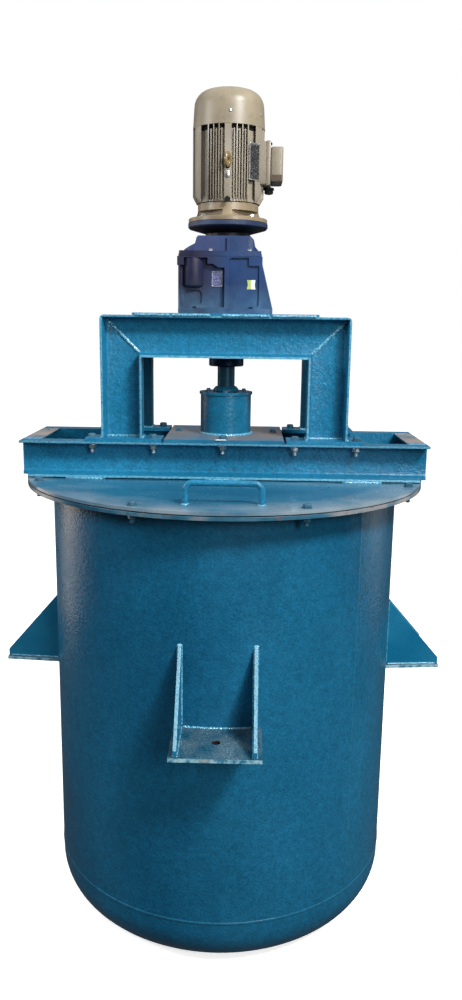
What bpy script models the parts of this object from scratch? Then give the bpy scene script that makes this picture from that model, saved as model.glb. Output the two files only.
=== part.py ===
"""Glue mixer: a closed round tank with a bolted cover, carrying a bearing and a vertical geared motor.

Metres, +Z up. The origin is the centre of the tank's underside, the front faces -Y.
"""
import math

import bmesh
import bpy
from mathutils import Matrix, Vector

# Fits
GAP = 0.0003                 # left between pieces that touch
RUNNING_CLEARANCE = 0.0005   # shaft to bearing, seal and gearbox bore
PASSING_CLEARANCE = 0.006    # shaft to the plates that it only passes

# Tank
TANK_R = 0.500
TANK_WALL = 0.006
HEAD_HEIGHT = 0.155
HEAD_WALL = 0.008
KNUCKLE_R = 0.125
TANK_HEIGHT = 1.278          # floor to the top of the shell
SEAM_ANGLE = math.radians(-43.4)
RIM_REACH = 0.071            # rim flange beyond the tank's wall
RIM_THICKNESS = 0.010
GASKET_THICKNESS = 0.0025
GASKET_SETBACK = 0.011
COVER_THICKNESS = 0.008
COVER_HOLE_R = 0.065         # under the bearing, wide enough to pass a flange on the shaft

# Cover handles
HANDLE_SPAN = 0.186
HANDLE_HEIGHT = 0.052
HANDLE_ROD_R = 0.008
HANDLE_BEND_R = 0.018
HANDLE_FROM_EDGE = 0.091
HANDLE_SHIFT = 0.009         # each handle sits a little to one side

# Support lugs
LUG_LEVEL = 0.712            # underside of the base plates
LUG_WIDTH = 0.225
LUG_PLATE = 0.010
LUG_HOLE_R = 0.011
LUG_HOLE_FROM_TANK = 0.073
LUG_REACH_END = 0.155        # front and rear lugs
LUG_REACH_SIDE = 0.150
GUSSET_HEIGHT_END = 0.2235
GUSSET_HEIGHT_SIDE = 0.201
GUSSET_NOSE = 0.018
GUSSET_THICKNESS = 0.009
GUSSET_PITCH = 0.191
LUG_SIDE_TURN = math.radians(5.0)   # the side lugs sit a little behind the middle

# Channel frame on the cover
FRAME_INSET = 0.005          # frame shorter than the cover's diameter
FRAME_WIDTH = 0.333
FRAME_CHANNEL = 0.100
FRAME_PAD = 0.003            # short pads hold the frame off the cover
FRAME_PAD_PLACES = ((-0.440, -0.330), (-0.050, 0.050), (0.330, 0.440))
FRAME_FLANGE = 0.052
FRAME_END_HOLE_R = 0.005
TRIM_OVERRUN = 0.010         # how far a cutting shape runs past the metal

# Portals of mitred channel
PORTAL_WIDTH = 0.682
PORTAL_HEIGHT = 0.334
PORTAL_CHANNEL = 0.113
PORTAL_FLANGE = 0.052
PORTAL_FRONT = 0.152         # flange tips from the middle
PORTAL_CORNER_R = 0.012
FOOT_PLATE_LENGTH = 0.212
FOOT_PLATE_WIDTH = 0.080
FOOT_PLATE_FROM_AXIS = 0.2785
FOOT_PLATE_THICKNESS = 0.010
FOOT_BOLT_R = 0.006
FOOT_BOLT_PITCH = 0.171
FOOT_BOLT_FROM_AXIS = 0.2825

# Rolled channel section
CHANNEL_WEB = 0.0055
CHANNEL_TOE = 0.0065
CHANNEL_ROOT = 0.0095
CHANNEL_FILLET_R = 0.007
CHANNEL_TOE_R = 0.003

# Bearing and shaft
BASE_PLATE_LENGTH = 0.332
BASE_PLATE_THICKNESS = 0.010
SHAFT_R = 0.025
SHAFT_BELOW_COVER = 0.055
BEARING_R = 0.0735
BEARING_HEIGHT = 0.113
BEARING_CAP_R = 0.077
BEARING_CAP_THICKNESS = 0.0075
SEAL_R = 0.037
SEAL_TOP_R = 0.030
SEAL_HEIGHT = 0.0145
SEAL_SHOULDER = 0.006        # height of its wide lower part
COUPLING_R = 0.050
COUPLING_LENGTH = 0.086
COUPLING_LEVEL = 0.194       # underside of the coupling above the base plate
COUPLING_CHAMFER = 0.003
SHAFT_END_GAP = 0.006

# Drive mounting plate
DRIVE_PLATE_LENGTH = 0.505
DRIVE_PLATE_WIDTH = 0.304
DRIVE_PLATE_THICKNESS = 0.006
DRIVE_PLATE_HOLE_R = 0.060

# Gearbox
GEARBOX_BASE_RIGHT = 0.127
GEARBOX_BASE_DEPTH = 0.250
GEARBOX_BASE_THICKNESS = 0.0135
GEARBOX_LEFT = 0.131
GEARBOX_RIGHT = 0.0955
GEARBOX_DEPTH = 0.216
GEARBOX_HEIGHT = 0.1376
GEARBOX_BORE_DEPTH = 0.040
GEARBOX_COVER_THICKNESS = 0.0148
GEARBOX_CORNER_R = 0.012
COVER_CORNER_R = 0.006
COVER_LIP = 0.0068           # lower layer of the gearbox cover
COVER_STEP = 0.0015
RECESS_DEPTH = 0.016         # left of the middle rib
PANEL_DEPTH = 0.006          # right of it
POCKET_MARGIN = 0.0065
POCKET_CORNER_R = 0.010
RIB_LEFT = -0.005
RIB_RIGHT = 0.0055
STEP_DROP = 0.026            # the recess's upper edge steps down beside the rib
STEP_DEPTH = 0.010
STEP_START = 0.0226
STEP_END = 0.0515
BOSS_R = 0.034
BOSS_FROM_AXIS = 0.0916
BOSS_LENGTH = 0.078
BOSS_EDGE_R = 0.008
LOWER_POCKET_HALF = 0.024    # hollow below the boss
LOWER_POCKET_HEIGHT = 0.040
LOWER_POCKET_DEPTH = 0.005
EAR_LEFT_REACH = 0.003
EAR_LEFT_WIDTH = 0.015
EAR_LEFT_HEIGHT = 0.023
EAR_RIGHT_REACH = 0.002
EAR_RIGHT_WIDTH = 0.035
EAR_RIGHT_HEIGHT = 0.024
EAR_DEPTH = 0.030
CAP_HEIGHT = 0.0405
CAP_LEFT = 0.087
CAP_RIGHT = 0.0775
CAP_DRAFT = 0.004            # each side leans in by this much towards the top
CAP_SHOULDER = 0.119
CAP_SHOULDER_HEIGHT = 0.020
CAP_FOOT = 0.012             # the foot that flares out at the lower right
CAP_SLOPE = 0.010            # over the upper edges
CAP_DEPTH = 0.176
CAP_CORNER_R = 0.030
CAP_RIB = 0.0075
NECK_R = 0.0625
NECK_HEIGHT = 0.011
ADAPTER_CONE = 0.0125
ADAPTER_THICKNESS = 0.0165
ADAPTER_R = 0.1115
ADAPTER_EDGE = 0.004

# Motor
MOTOR_FLANGE_R = 0.110
MOTOR_FLANGE_THICKNESS = 0.0105
SHIELD_R = 0.0845
SHIELD_HEIGHT = 0.039
SHIELD_CORE_R = 0.066
SHIELD_EDGE = 0.002
SHIELD_FLARE = 0.006         # how far the ring swells above the flange
SHIELD_FLARE_HEIGHT = 0.010
WINDOW_HEIGHT = 0.018
WINDOW_WIDTH = 0.102
MOTOR_R = 0.0985
MOTOR_LENGTH = 0.193
PAD_CHAMFER = 0.010          # lower ends of the corner pads and fins
PAD_CHAMFER_HEIGHT = 0.018
FIN_THICKNESS = 0.0030
FIN_PITCH = 0.0073
FIN_FIRST = 0.0166
FIN_SHORTER = 0.011          # every other fin ends this far below the fan cover
FIN_LOWER = 0.0025           # and stands this much less proud
CENTRE_RIB = 0.018
GROOVE_FLOOR_R = 0.088
FINS_FRONT = 6               # each side of the middle rib
FINS_SIDE = 3
RECESS_END_FRONT = 0.073     # where the smooth corner pads begin
RECESS_END_SIDE = 0.039
FAN_COVER_R = 0.099          # at its lower edge
FAN_COVER_TOP_R = 0.0955
FAN_COVER_HEIGHT = 0.0994
FAN_COVER_SHOULDER_R = 0.043
FAN_COVER_CROWN = 0.003
AIR_SLOTS = 10
AIR_SLOT_START = 0.016
AIR_SLOT_END = 0.046
AIR_SLOT_WIDTH = 0.006
AIR_SLOT_DEPTH = 0.006
BOX_BASE_DEPTH = 0.097
BOX_BASE_HEIGHT = 0.112
BOX_BASE_FACE = 0.115        # from the motor's axis
BOX_BASE_EDGE = 0.006
BOX_FLANGE = 0.0015          # the base's flange stands out this much
BOX_FLANGE_THICKNESS = 0.0125
BOX_COVER_DEPTH = 0.092
BOX_COVER_HEIGHT = 0.0905
BOX_COVER_THICKNESS = 0.034
BOX_COVER_EDGE = 0.005
BOX_CENTRE = 0.1035          # above the motor frame's lower end
BOX_COVER_DROP = 0.002       # cover's middle below the base's
BOX_ROOT = 0.064             # the base reaches in this near to the motor's axis

# Facets
STEPS_TANK = 96
STEPS_PART = 48
STEPS_HOLE = 20

# Heights that follow from the sizes above
RIM_Z = TANK_HEIGHT + GAP
GASKET_Z = RIM_Z + RIM_THICKNESS + GAP
COVER_Z = GASKET_Z + GASKET_THICKNESS + GAP
COVER_TOP = COVER_Z + COVER_THICKNESS
FRAME_Z = COVER_TOP + GAP + FRAME_PAD
FRAME_TOP = FRAME_Z + FRAME_CHANNEL
PLATE_Z = FRAME_TOP + GAP
BASE_PLATE_TOP = PLATE_Z + BASE_PLATE_THICKNESS
FOOT_TOP = PLATE_Z + FOOT_PLATE_THICKNESS
BEARING_Z = BASE_PLATE_TOP + GAP
BEARING_CAP_Z = BEARING_Z + BEARING_HEIGHT + GAP
SEAL_Z = BEARING_CAP_Z + BEARING_CAP_THICKNESS + GAP
COUPLING_Z = BASE_PLATE_TOP + COUPLING_LEVEL
SHAFT_MEET = COUPLING_Z + COUPLING_LENGTH / 2
PORTAL_Z = FOOT_TOP + GAP
PORTAL_TOP = PORTAL_Z + PORTAL_HEIGHT
DRIVE_PLATE_Z = PORTAL_TOP + GAP
GEARBOX_Z = DRIVE_PLATE_Z + DRIVE_PLATE_THICKNESS + GAP
GEARBOX_BODY_Z = GEARBOX_Z + GEARBOX_BASE_THICKNESS
GEARBOX_TOP = GEARBOX_BODY_Z + GEARBOX_HEIGHT
GEARBOX_COVER_Z = GEARBOX_TOP + GAP
CAP_Z = GEARBOX_COVER_Z + GEARBOX_COVER_THICKNESS + GAP
ADAPTER_Z = CAP_Z + CAP_HEIGHT + GAP
ADAPTER_TOP = ADAPTER_Z + NECK_HEIGHT + ADAPTER_CONE + ADAPTER_THICKNESS
SHIELD_Z = ADAPTER_TOP + GAP
MOTOR_Z = SHIELD_Z + MOTOR_FLANGE_THICKNESS + SHIELD_HEIGHT + GAP
FAN_COVER_Z = MOTOR_Z + MOTOR_LENGTH + GAP

# Widths that follow
RIM_R = TANK_R + RIM_REACH
GASKET_R = RIM_R - GASKET_SETBACK
COVER_R = RIM_R
HANDLE_FROM_AXIS = COVER_R - HANDLE_FROM_EDGE
FRAME_LENGTH = 2 * COVER_R - FRAME_INSET
WEB_FACE_Y = FRAME_WIDTH / 2 - FRAME_FLANGE
BORE_R = SHAFT_R + RUNNING_CLEARANCE
PASSING_R = SHAFT_R + PASSING_CLEARANCE

# Colours, roughness and metallic value
TEAL_PAINT = ("teal_paint", (0.035, 0.150, 0.225), 0.35, 0.35)
NAVY_PAINT = ("navy_paint", (0.040, 0.065, 0.160), 0.50, 0.10)
BEIGE_PAINT = ("beige_paint", (0.380, 0.330, 0.235), 0.50, 0.10)
BLACK_RUBBER = ("black_rubber", (0.020, 0.020, 0.020), 0.80, 0.00)
DARK_STEEL = ("dark_steel", (0.050, 0.060, 0.075), 0.45, 0.80)


def clear_scene():
    for old in list(bpy.data.objects):
        bpy.data.objects.remove(old, do_unlink=True)


def new_collection(name):
    made = bpy.data.collections.new(name)
    bpy.context.scene.collection.children.link(made)
    return made


def material(spec):
    name, colour, roughness, metallic = spec
    made = bpy.data.materials.get(name)
    if made is None:
        made = bpy.data.materials.new(name)
        made.use_nodes = True
        shader = made.node_tree.nodes["Principled BSDF"]
        shader.inputs["Base Color"].default_value = (*colour, 1.0)
        shader.inputs["Roughness"].default_value = roughness
        shader.inputs["Metallic"].default_value = metallic
    return made


def finish(obj, spec, crease=35.0):
    """Give an object its material and smooth shading with creases at its real edges."""
    obj.data.materials.clear()
    obj.data.materials.append(material(spec))
    if obj.type == "MESH":
        obj.data.shade_smooth()
        obj.data.set_sharp_from_angle(angle=math.radians(crease))
    return obj


def link(obj, where):
    for old in list(obj.users_collection):
        old.objects.unlink(obj)
    where.objects.link(obj)
    return obj


def as_cutter(obj):
    obj.hide_render = True
    obj.display_type = "WIRE"
    return link(obj, CUTTERS)


def box(name, low, high):
    """A box between two corners."""
    bpy.ops.mesh.primitive_cube_add(size=1.0)
    obj = bpy.context.active_object
    obj.name = name
    size = Vector(high) - Vector(low)
    centre = (Vector(high) + Vector(low)) / 2
    obj.data.transform(Matrix.Translation(centre) @ Matrix.Diagonal((*size, 1.0)))
    return link(obj, PARTS)


def cylinder(name, radius, low_z, high_z, x=0.0, y=0.0, steps=STEPS_PART):
    bpy.ops.mesh.primitive_cylinder_add(vertices=steps, radius=radius, depth=high_z - low_z)
    obj = bpy.context.active_object
    obj.name = name
    obj.data.transform(Matrix.Translation((x, y, (low_z + high_z) / 2)))
    return link(obj, PARTS)


def circle(radius, steps, x=0.0, y=0.0):
    return [(x + radius * math.cos(2 * math.pi * i / steps),
             y + radius * math.sin(2 * math.pi * i / steps)) for i in range(steps)]


def arc(cx, cy, radius, start, end, steps):
    """Points on an arc, ends included, angles in radians."""
    turns = [start + (end - start) * i / steps for i in range(steps + 1)]
    return [(cx + radius * math.cos(a), cy + radius * math.sin(a)) for a in turns]


def rounded(points, radius, steps=3):
    """Round every corner of a closed outline."""
    result = []
    count = len(points)
    for i in range(count):
        corner = Vector(points[i])
        before = (Vector(points[i - 1]) - corner).normalized()
        after = (Vector(points[(i + 1) % count]) - corner).normalized()
        half = before.angle(after) / 2
        cut = radius / math.tan(half)
        centre = corner + (before + after).normalized() * (radius / math.sin(half))
        first = corner + before * cut - centre
        last = corner + after * cut - centre
        sweep = first.angle_signed(last)
        for k in range(steps + 1):
            turn = Matrix.Rotation(-sweep * k / steps, 2)
            result.append(tuple(centre + turn @ first))
    return result


def prism(name, outlines, low, high, place=Matrix()):
    """Flat outlines (the first is the border, others are holes) given a thickness from low to high."""
    curve = bpy.data.curves.new(name, "CURVE")
    curve.dimensions = "2D"
    curve.fill_mode = "BOTH"
    curve.extrude = (high - low) / 2
    for outline in outlines:
        spline = curve.splines.new("POLY")
        spline.points.add(len(outline) - 1)
        for point, (x, y) in zip(spline.points, outline):
            point.co = (x, y, 0.0, 1.0)
        spline.use_cyclic_u = True
    rough = bpy.data.objects.new(name + "_outline", curve)
    bpy.context.scene.collection.objects.link(rough)
    obj = to_mesh(rough, name)
    obj.data.transform(place @ Matrix.Translation((0.0, 0.0, (low + high) / 2)))
    return obj


def to_mesh(curve_obj, name):
    """The mesh of a curve with its caps welded on."""
    depsgraph = bpy.context.evaluated_depsgraph_get()
    mesh = bpy.data.meshes.new_from_object(curve_obj.evaluated_get(depsgraph))
    mesh.name = name
    shape = bmesh.new()
    shape.from_mesh(mesh)
    bmesh.ops.remove_doubles(shape, verts=shape.verts, dist=0.00001)
    bmesh.ops.recalc_face_normals(shape, faces=shape.faces)
    shape.to_mesh(mesh)
    shape.free()
    obj = bpy.data.objects.new(name, mesh)
    obj.matrix_world = curve_obj.matrix_world
    bpy.data.objects.remove(curve_obj, do_unlink=True)
    PARTS.objects.link(obj)
    return obj


def turned(name, profile, steps, ring=False):
    """A profile of (radius, height) points turned about Z. It runs down the outer side."""
    mesh = bpy.data.meshes.new(name)
    shape = bmesh.new()
    verts = [shape.verts.new((r, 0.0, z)) for r, z in profile]
    for a, b in zip(verts, verts[1:]):
        shape.edges.new((a, b))
    if ring:
        shape.edges.new((verts[-1], verts[0]))
    shape.to_mesh(mesh)
    shape.free()
    obj = bpy.data.objects.new(name, mesh)
    PARTS.objects.link(obj)
    screw = obj.modifiers.new("turn", "SCREW")
    screw.axis = "Z"
    screw.steps = steps
    screw.render_steps = steps
    screw.use_merge_vertices = True
    screw.merge_threshold = 0.0001
    return obj


def boolean(obj, other, operation):
    as_cutter(other)
    step = obj.modifiers.new(other.name, "BOOLEAN")
    step.operation = operation
    step.solver = "EXACT"
    step.object = other
    return obj


def cut(obj, other):
    return boolean(obj, other, "DIFFERENCE")


def join(obj, other):
    return boolean(obj, other, "UNION")


def weld(obj):
    """Close up the shortest edges that Booleans leave."""
    step = obj.modifiers.new("weld", "WELD")
    step.merge_threshold = GAP / 10
    return obj


def bevel(obj, width, segments=2, angle=40.0):
    step = obj.modifiers.new("bevel", "BEVEL")
    step.width = width
    step.segments = segments
    step.limit_method = "ANGLE"
    step.angle_limit = math.radians(angle)
    return obj


def tube(name, points, radius, sides=4):
    """A round rod through points, with filled ends."""
    curve = bpy.data.curves.new(name, "CURVE")
    curve.dimensions = "3D"
    curve.bevel_depth = radius
    curve.bevel_resolution = sides
    curve.use_fill_caps = True
    spline = curve.splines.new("POLY")
    spline.points.add(len(points) - 1)
    for point, place in zip(spline.points, points):
        point.co = (*place, 1.0)
    rough = bpy.data.objects.new(name + "_route", curve)
    bpy.context.scene.collection.objects.link(rough)
    return to_mesh(rough, name)


# Outlines lie in XY. These turn an outline upright or along the machine.
UPRIGHT = Matrix.Rotation(math.pi / 2, 4, "X")                      # outline (x, z), thickness along -Y


def turned_about_z(angle):
    return Matrix.Rotation(angle, 4, "Z")


# Tank

def curved_wall(name, wall, first, last, low, high, steps):
    """Part of the tank's round wall between two angles."""
    outline = arc(0.0, 0.0, TANK_R, first, last, steps)
    outline += arc(0.0, 0.0, TANK_R - wall, last, first, steps)
    return finish(prism(name, [outline], low, high), TEAL_PAINT)


def tank_bottom():
    """A flat plate, a large knuckle ring and a short straight skirt.

    The skirt's four segments meet on the diagonals, so the hull of each stays clear of a square space inside.
    """
    centre_r = TANK_R - KNUCKLE_R
    plate = prism("tank_bottom_plate", [circle(centre_r - GAP, STEPS_TANK)], 0.0, HEAD_WALL)
    finish(plate, TEAL_PAINT)
    profile = arc(centre_r, KNUCKLE_R, KNUCKLE_R, 0.0, -math.pi / 2, 9)
    profile += arc(centre_r, KNUCKLE_R, KNUCKLE_R - HEAD_WALL, -math.pi / 2, 0.0, 7)
    finish(turned("tank_bottom_knuckle", profile, STEPS_TANK, ring=True), TEAL_PAINT)
    quarter = math.pi / 2
    seam_gap = GAP / TANK_R
    for k, side in enumerate(("right", "rear", "left", "front")):
        first = (k - 0.5) * quarter
        curved_wall("tank_skirt_" + side, HEAD_WALL, first + seam_gap, first + quarter - seam_gap,
                    KNUCKLE_R + GAP, HEAD_HEIGHT, STEPS_TANK // 4)


def tank_shell():
    """The rolled wall, in two plates that meet at two upright seams."""
    seam_gap = GAP / TANK_R
    for side, start in (("right", SEAM_ANGLE), ("left", SEAM_ANGLE + math.pi)):
        curved_wall("tank_shell_" + side, TANK_WALL, start + seam_gap, start + math.pi - seam_gap,
                    HEAD_HEIGHT + GAP, TANK_HEIGHT, STEPS_TANK // 2)


def tank_rim():
    inner = circle(TANK_R - TANK_WALL, STEPS_TANK)
    rim = prism("tank_rim_flange", [circle(RIM_R, STEPS_TANK), inner], RIM_Z, RIM_Z + RIM_THICKNESS)
    finish(rim, TEAL_PAINT)
    seal = prism("cover_gasket", [circle(GASKET_R, STEPS_TANK), inner],
                 GASKET_Z, GASKET_Z + GASKET_THICKNESS)
    finish(seal, BLACK_RUBBER)


def cover():
    hole = circle(COVER_HOLE_R, STEPS_PART)
    plate = prism("cover_plate", [circle(COVER_R, STEPS_TANK), hole], COVER_Z, COVER_TOP)
    finish(plate, TEAL_PAINT)


def handle(name, angle):
    """A bent round bar with both ends standing on the cover."""
    half = HANDLE_SPAN / 2
    low = COVER_TOP + GAP
    high = low + HANDLE_HEIGHT
    bend = HANDLE_BEND_R
    route = [(-half, low)]
    route += arc(-half + bend, high - bend, bend, math.pi, math.pi / 2, 5)
    route += arc(half - bend, high - bend, bend, math.pi / 2, 0.0, 5)
    route += [(half, low)]
    rod = tube(name, [(x + HANDLE_SHIFT, -HANDLE_FROM_AXIS, z) for x, z in route], HANDLE_ROD_R)
    rod.data.transform(turned_about_z(angle))
    return finish(rod, TEAL_PAINT)


# Support lugs

def lug(side, angle, reach, gusset_height):
    """A base plate with one bolt hole under two gussets, standing off the wall at an angle."""
    place = turned_about_z(angle + math.pi / 2)
    half = LUG_WIDTH / 2
    outer = TANK_R + reach
    top = LUG_LEVEL + LUG_PLATE
    wall_angle = math.asin(half / (TANK_R + GAP))
    middle = -math.pi / 2
    against_wall = arc(0.0, 0.0, TANK_R + GAP, middle + wall_angle, middle - wall_angle, 8)
    hole = circle(LUG_HOLE_R, STEPS_HOLE, 0.0, -(TANK_R + LUG_HOLE_FROM_TANK))
    outline = [(-half, -outer), (half, -outer)] + against_wall
    plate = prism("lug_plate_" + side, [outline, hole], LUG_LEVEL, top, place)
    finish(plate, TEAL_PAINT)
    for hand, sign in (("a", -1.0), ("b", 1.0)):
        x = sign * GUSSET_PITCH / 2
        inner = math.sqrt((TANK_R + GAP) ** 2 - (abs(x) - GUSSET_THICKNESS / 2) ** 2)
        low = top + GAP
        shape = [(-outer, low), (-inner, low), (-inner, low + gusset_height), (-outer, low + GUSSET_NOSE)]
        sideways = Matrix(((0, 0, 1, 0), (1, 0, 0, 0), (0, 1, 0, 0), (0, 0, 0, 1)))
        gusset = prism("lug_gusset_" + side + "_" + hand, [shape],
                       x - GUSSET_THICKNESS / 2, x + GUSSET_THICKNESS / 2, place @ sideways)
        finish(gusset, TEAL_PAINT)


# Rolled channels

def channel_section(height, flange):
    """Half outline mirrored about the middle: across the web in x, flanges reaching to -y from the back at 0."""
    half = height / 2
    root = half - CHANNEL_ROOT
    toe = half - CHANNEL_TOE
    web_y = -CHANNEL_WEB
    slope = math.atan2(toe - root, flange - CHANNEL_WEB)
    fillet = CHANNEL_FILLET_R
    upper = [(half, 0.0), (half, -flange)]
    upper += arc(toe + CHANNEL_TOE_R, -flange + CHANNEL_TOE_R, CHANNEL_TOE_R, -math.pi / 2, -math.pi + slope, 2)
    corner = (root - fillet, web_y - fillet)
    upper += arc(corner[0], corner[1], fillet, slope, math.pi / 2, 3)
    lower = [(-x, y) for x, y in reversed(upper)]
    return upper + lower


def channel(name, height, flange, length, low_slope=0.0, high_slope=0.0):
    """A channel along +Z from 0 to length. An end's slope mitres it across the web."""
    obj = prism(name, [channel_section(height, flange)], 0.0, length)
    for vert in obj.data.vertices:
        slope = high_slope if vert.co.z > length / 2 else low_slope
        vert.co.z += slope * vert.co.x
    return obj


def set_axes(obj, across, depth, along, origin):
    """Lay a channel so that its local x, y and z run along three world directions."""
    columns = Matrix((across, depth, along)).transposed().to_4x4()
    obj.data.transform(Matrix.Translation(origin) @ columns)
    return obj


def flip(obj):
    """Faces turn inside out when the three directions are left-handed."""
    shape = bmesh.new()
    shape.from_mesh(obj.data)
    bmesh.ops.recalc_face_normals(shape, faces=shape.faces)
    shape.to_mesh(obj.data)
    shape.free()
    return obj


def cover_frame():
    """Two long channels with flanges outward, closed at the ends by two with flanges inward."""
    half = FRAME_LENGTH / 2
    middle = FRAME_Z + FRAME_CHANNEL / 2
    for side, sign in (("front", -1.0), ("rear", 1.0)):
        long_one = channel("frame_channel_" + side, FRAME_CHANNEL, FRAME_FLANGE, FRAME_LENGTH)
        set_axes(long_one, (0, 0, 1), (0, -sign, 0), (1, 0, 0), (-half, sign * WEB_FACE_Y, middle))
        cut_bolt_holes(flip(long_one), sign)
        trim_corners(long_one, sign)
        add_pads(long_one, sign)
        finish(long_one, TEAL_PAINT)
    width = 2 * (WEB_FACE_Y - GAP)
    for side, sign in (("left", -1.0), ("right", 1.0)):
        short_one = channel("frame_end_" + side, FRAME_CHANNEL, FRAME_FLANGE, width)
        set_axes(short_one, (0, 0, 1), (sign, 0, 0), (0, 1, 0), (sign * half, -width / 2, middle))
        finish(flip(short_one), TEAL_PAINT)
        for k, end in enumerate((-1.0, 1.0)):
            hole = cylinder("frame_end_hole_%s_%d" % (side, k), FRAME_END_HOLE_R, middle, FRAME_TOP + TRIM_OVERRUN,
                            sign * (half - FRAME_FLANGE / 2), end * (WEB_FACE_Y - FRAME_FLANGE / 2), STEPS_HOLE)
            cut(short_one, hole)


def cut_bolt_holes(long_one, sign):
    """Holes through the top flange under the portals' foot plates."""
    for x in foot_bolts():
        hole = cylinder("hole_%s_%d" % (long_one.name, round(x * 1000)), FOOT_BOLT_R,
                        FRAME_TOP - FRAME_CHANNEL / 2, FRAME_TOP + TRIM_OVERRUN, x, sign * foot_bolt_y(), STEPS_HOLE)
        cut(long_one, hole)


def trim_corners(long_one, sign):
    """The lower flange's corners are cut off along the cover's edge."""
    inner = WEB_FACE_Y + CHANNEL_WEB + CHANNEL_FILLET_R
    outer = FRAME_WIDTH / 2 + TRIM_OVERRUN
    beyond = FRAME_LENGTH / 2 + TRIM_OVERRUN
    edge = arc(0.0, 0.0, COVER_R, math.asin(inner / COVER_R), math.asin(outer / COVER_R), 4)
    for hand in (-1.0, 1.0):
        outline = [(hand * x, sign * y) for x, y in edge + [(beyond, outer), (beyond, inner)]]
        corner = prism("%s_trim_%d" % (long_one.name, hand), [outline],
                       FRAME_Z - TRIM_OVERRUN, FRAME_Z + CHANNEL_ROOT)
        cut(long_one, corner)


def add_pads(long_one, sign):
    """Short pads welded below the flange, on which the frame stands."""
    inner = sign * (WEB_FACE_Y + CHANNEL_WEB)
    outer = sign * (FRAME_WIDTH / 2 - GAP)
    for k, (start, end) in enumerate(FRAME_PAD_PLACES):
        pad = box("pad_%s_%d" % (long_one.name, k), (start, min(inner, outer), FRAME_Z - FRAME_PAD),
                  (end, max(inner, outer), FRAME_Z + FRAME_PAD))
        join(long_one, pad)


def foot_bolts():
    near = FOOT_BOLT_FROM_AXIS - FOOT_BOLT_PITCH / 2
    far = FOOT_BOLT_FROM_AXIS + FOOT_BOLT_PITCH / 2
    return (-far, -near, near, far)


def foot_bolt_y():
    return FRAME_WIDTH / 2 - (FRAME_FLANGE - CHANNEL_WEB) / 2


# Portals

def portal(side, turn):
    """A leg, a top and a leg of channel, mitred at both upper corners, flanges outward."""
    place = turned_about_z(turn)
    half = PORTAL_WIDTH / 2
    back = -(PORTAL_FRONT - PORTAL_FLANGE)
    leg_x = half - PORTAL_CHANNEL / 2
    trim = GAP / 2 * math.sqrt(2.0)
    leg_length = PORTAL_HEIGHT - PORTAL_CHANNEL / 2 - trim
    pieces = []
    for hand, sign in (("left", -1.0), ("right", 1.0)):
        leg = channel("portal_%s_leg_%s" % (side, hand), PORTAL_CHANNEL, PORTAL_FLANGE, leg_length, 0.0, 1.0)
        set_axes(leg, (sign, 0, 0), (0, 1, 0), (0, 0, 1), (sign * leg_x, back, PORTAL_Z))
        pieces.append(leg)
    top_length = PORTAL_WIDTH - PORTAL_CHANNEL - 2 * trim
    top = channel("portal_%s_top" % side, PORTAL_CHANNEL, PORTAL_FLANGE, top_length, -1.0, 1.0)
    set_axes(top, (0, 0, 1), (0, 1, 0), (1, 0, 0),
             (-top_length / 2, back, PORTAL_TOP - PORTAL_CHANNEL / 2))
    pieces.append(top)
    low = PORTAL_Z - PORTAL_HEIGHT
    envelope = [(-half, low), (half, low), (half, PORTAL_TOP), (-half, PORTAL_TOP)]
    round_box = prism("portal_%s_corners" % side, [rounded(envelope, PORTAL_CORNER_R, 4)],
                      0.0, PORTAL_FRONT * 2, UPRIGHT)
    round_box.data.transform(place)
    for piece in pieces:
        piece.data.transform(place)
        boolean(flip(piece), round_box, "INTERSECT")
        finish(piece, TEAL_PAINT)


def foot_plate(name, x_sign, y_sign):
    """A bolted plate under one leg, flush with the frame channel's flange tips."""
    middle = x_sign * FOOT_PLATE_FROM_AXIS
    outer = y_sign * FRAME_WIDTH / 2
    inner = outer - y_sign * FOOT_PLATE_WIDTH
    half = FOOT_PLATE_LENGTH / 2
    outline = [(middle - half, min(inner, outer)), (middle + half, min(inner, outer)),
               (middle + half, max(inner, outer)), (middle - half, max(inner, outer))]
    holes = [circle(FOOT_BOLT_R, STEPS_HOLE, x, y_sign * foot_bolt_y())
             for x in foot_bolts() if x * x_sign > 0]
    return finish(prism(name, [outline] + holes, PLATE_Z, FOOT_TOP), TEAL_PAINT)


# Bearing and shaft

def bearing():
    half_x = BASE_PLATE_LENGTH / 2
    half_y = FRAME_WIDTH / 2
    outline = [(-half_x, -half_y), (half_x, -half_y), (half_x, half_y), (-half_x, half_y)]
    plate = prism("bearing_base_plate", [outline, circle(PASSING_R, STEPS_PART)], PLATE_Z, BASE_PLATE_TOP)
    finish(plate, TEAL_PAINT)
    bore = circle(BORE_R, STEPS_PART)
    housing = prism("bearing_housing", [circle(BEARING_R, STEPS_PART), bore],
                    BEARING_Z, BEARING_Z + BEARING_HEIGHT)
    finish(housing, TEAL_PAINT)
    cap = prism("bearing_cap", [circle(BEARING_CAP_R, STEPS_PART), bore],
                BEARING_CAP_Z, BEARING_CAP_Z + BEARING_CAP_THICKNESS)
    finish(cap, TEAL_PAINT)
    top = SEAL_Z + SEAL_HEIGHT
    shoulder = SEAL_Z + SEAL_SHOULDER
    profile = [(BORE_R, top), (SEAL_TOP_R, top), (SEAL_R, shoulder), (SEAL_R, SEAL_Z), (BORE_R, SEAL_Z)]
    finish(turned("shaft_seal_ring", profile, STEPS_PART, ring=True), TEAL_PAINT)


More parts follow.
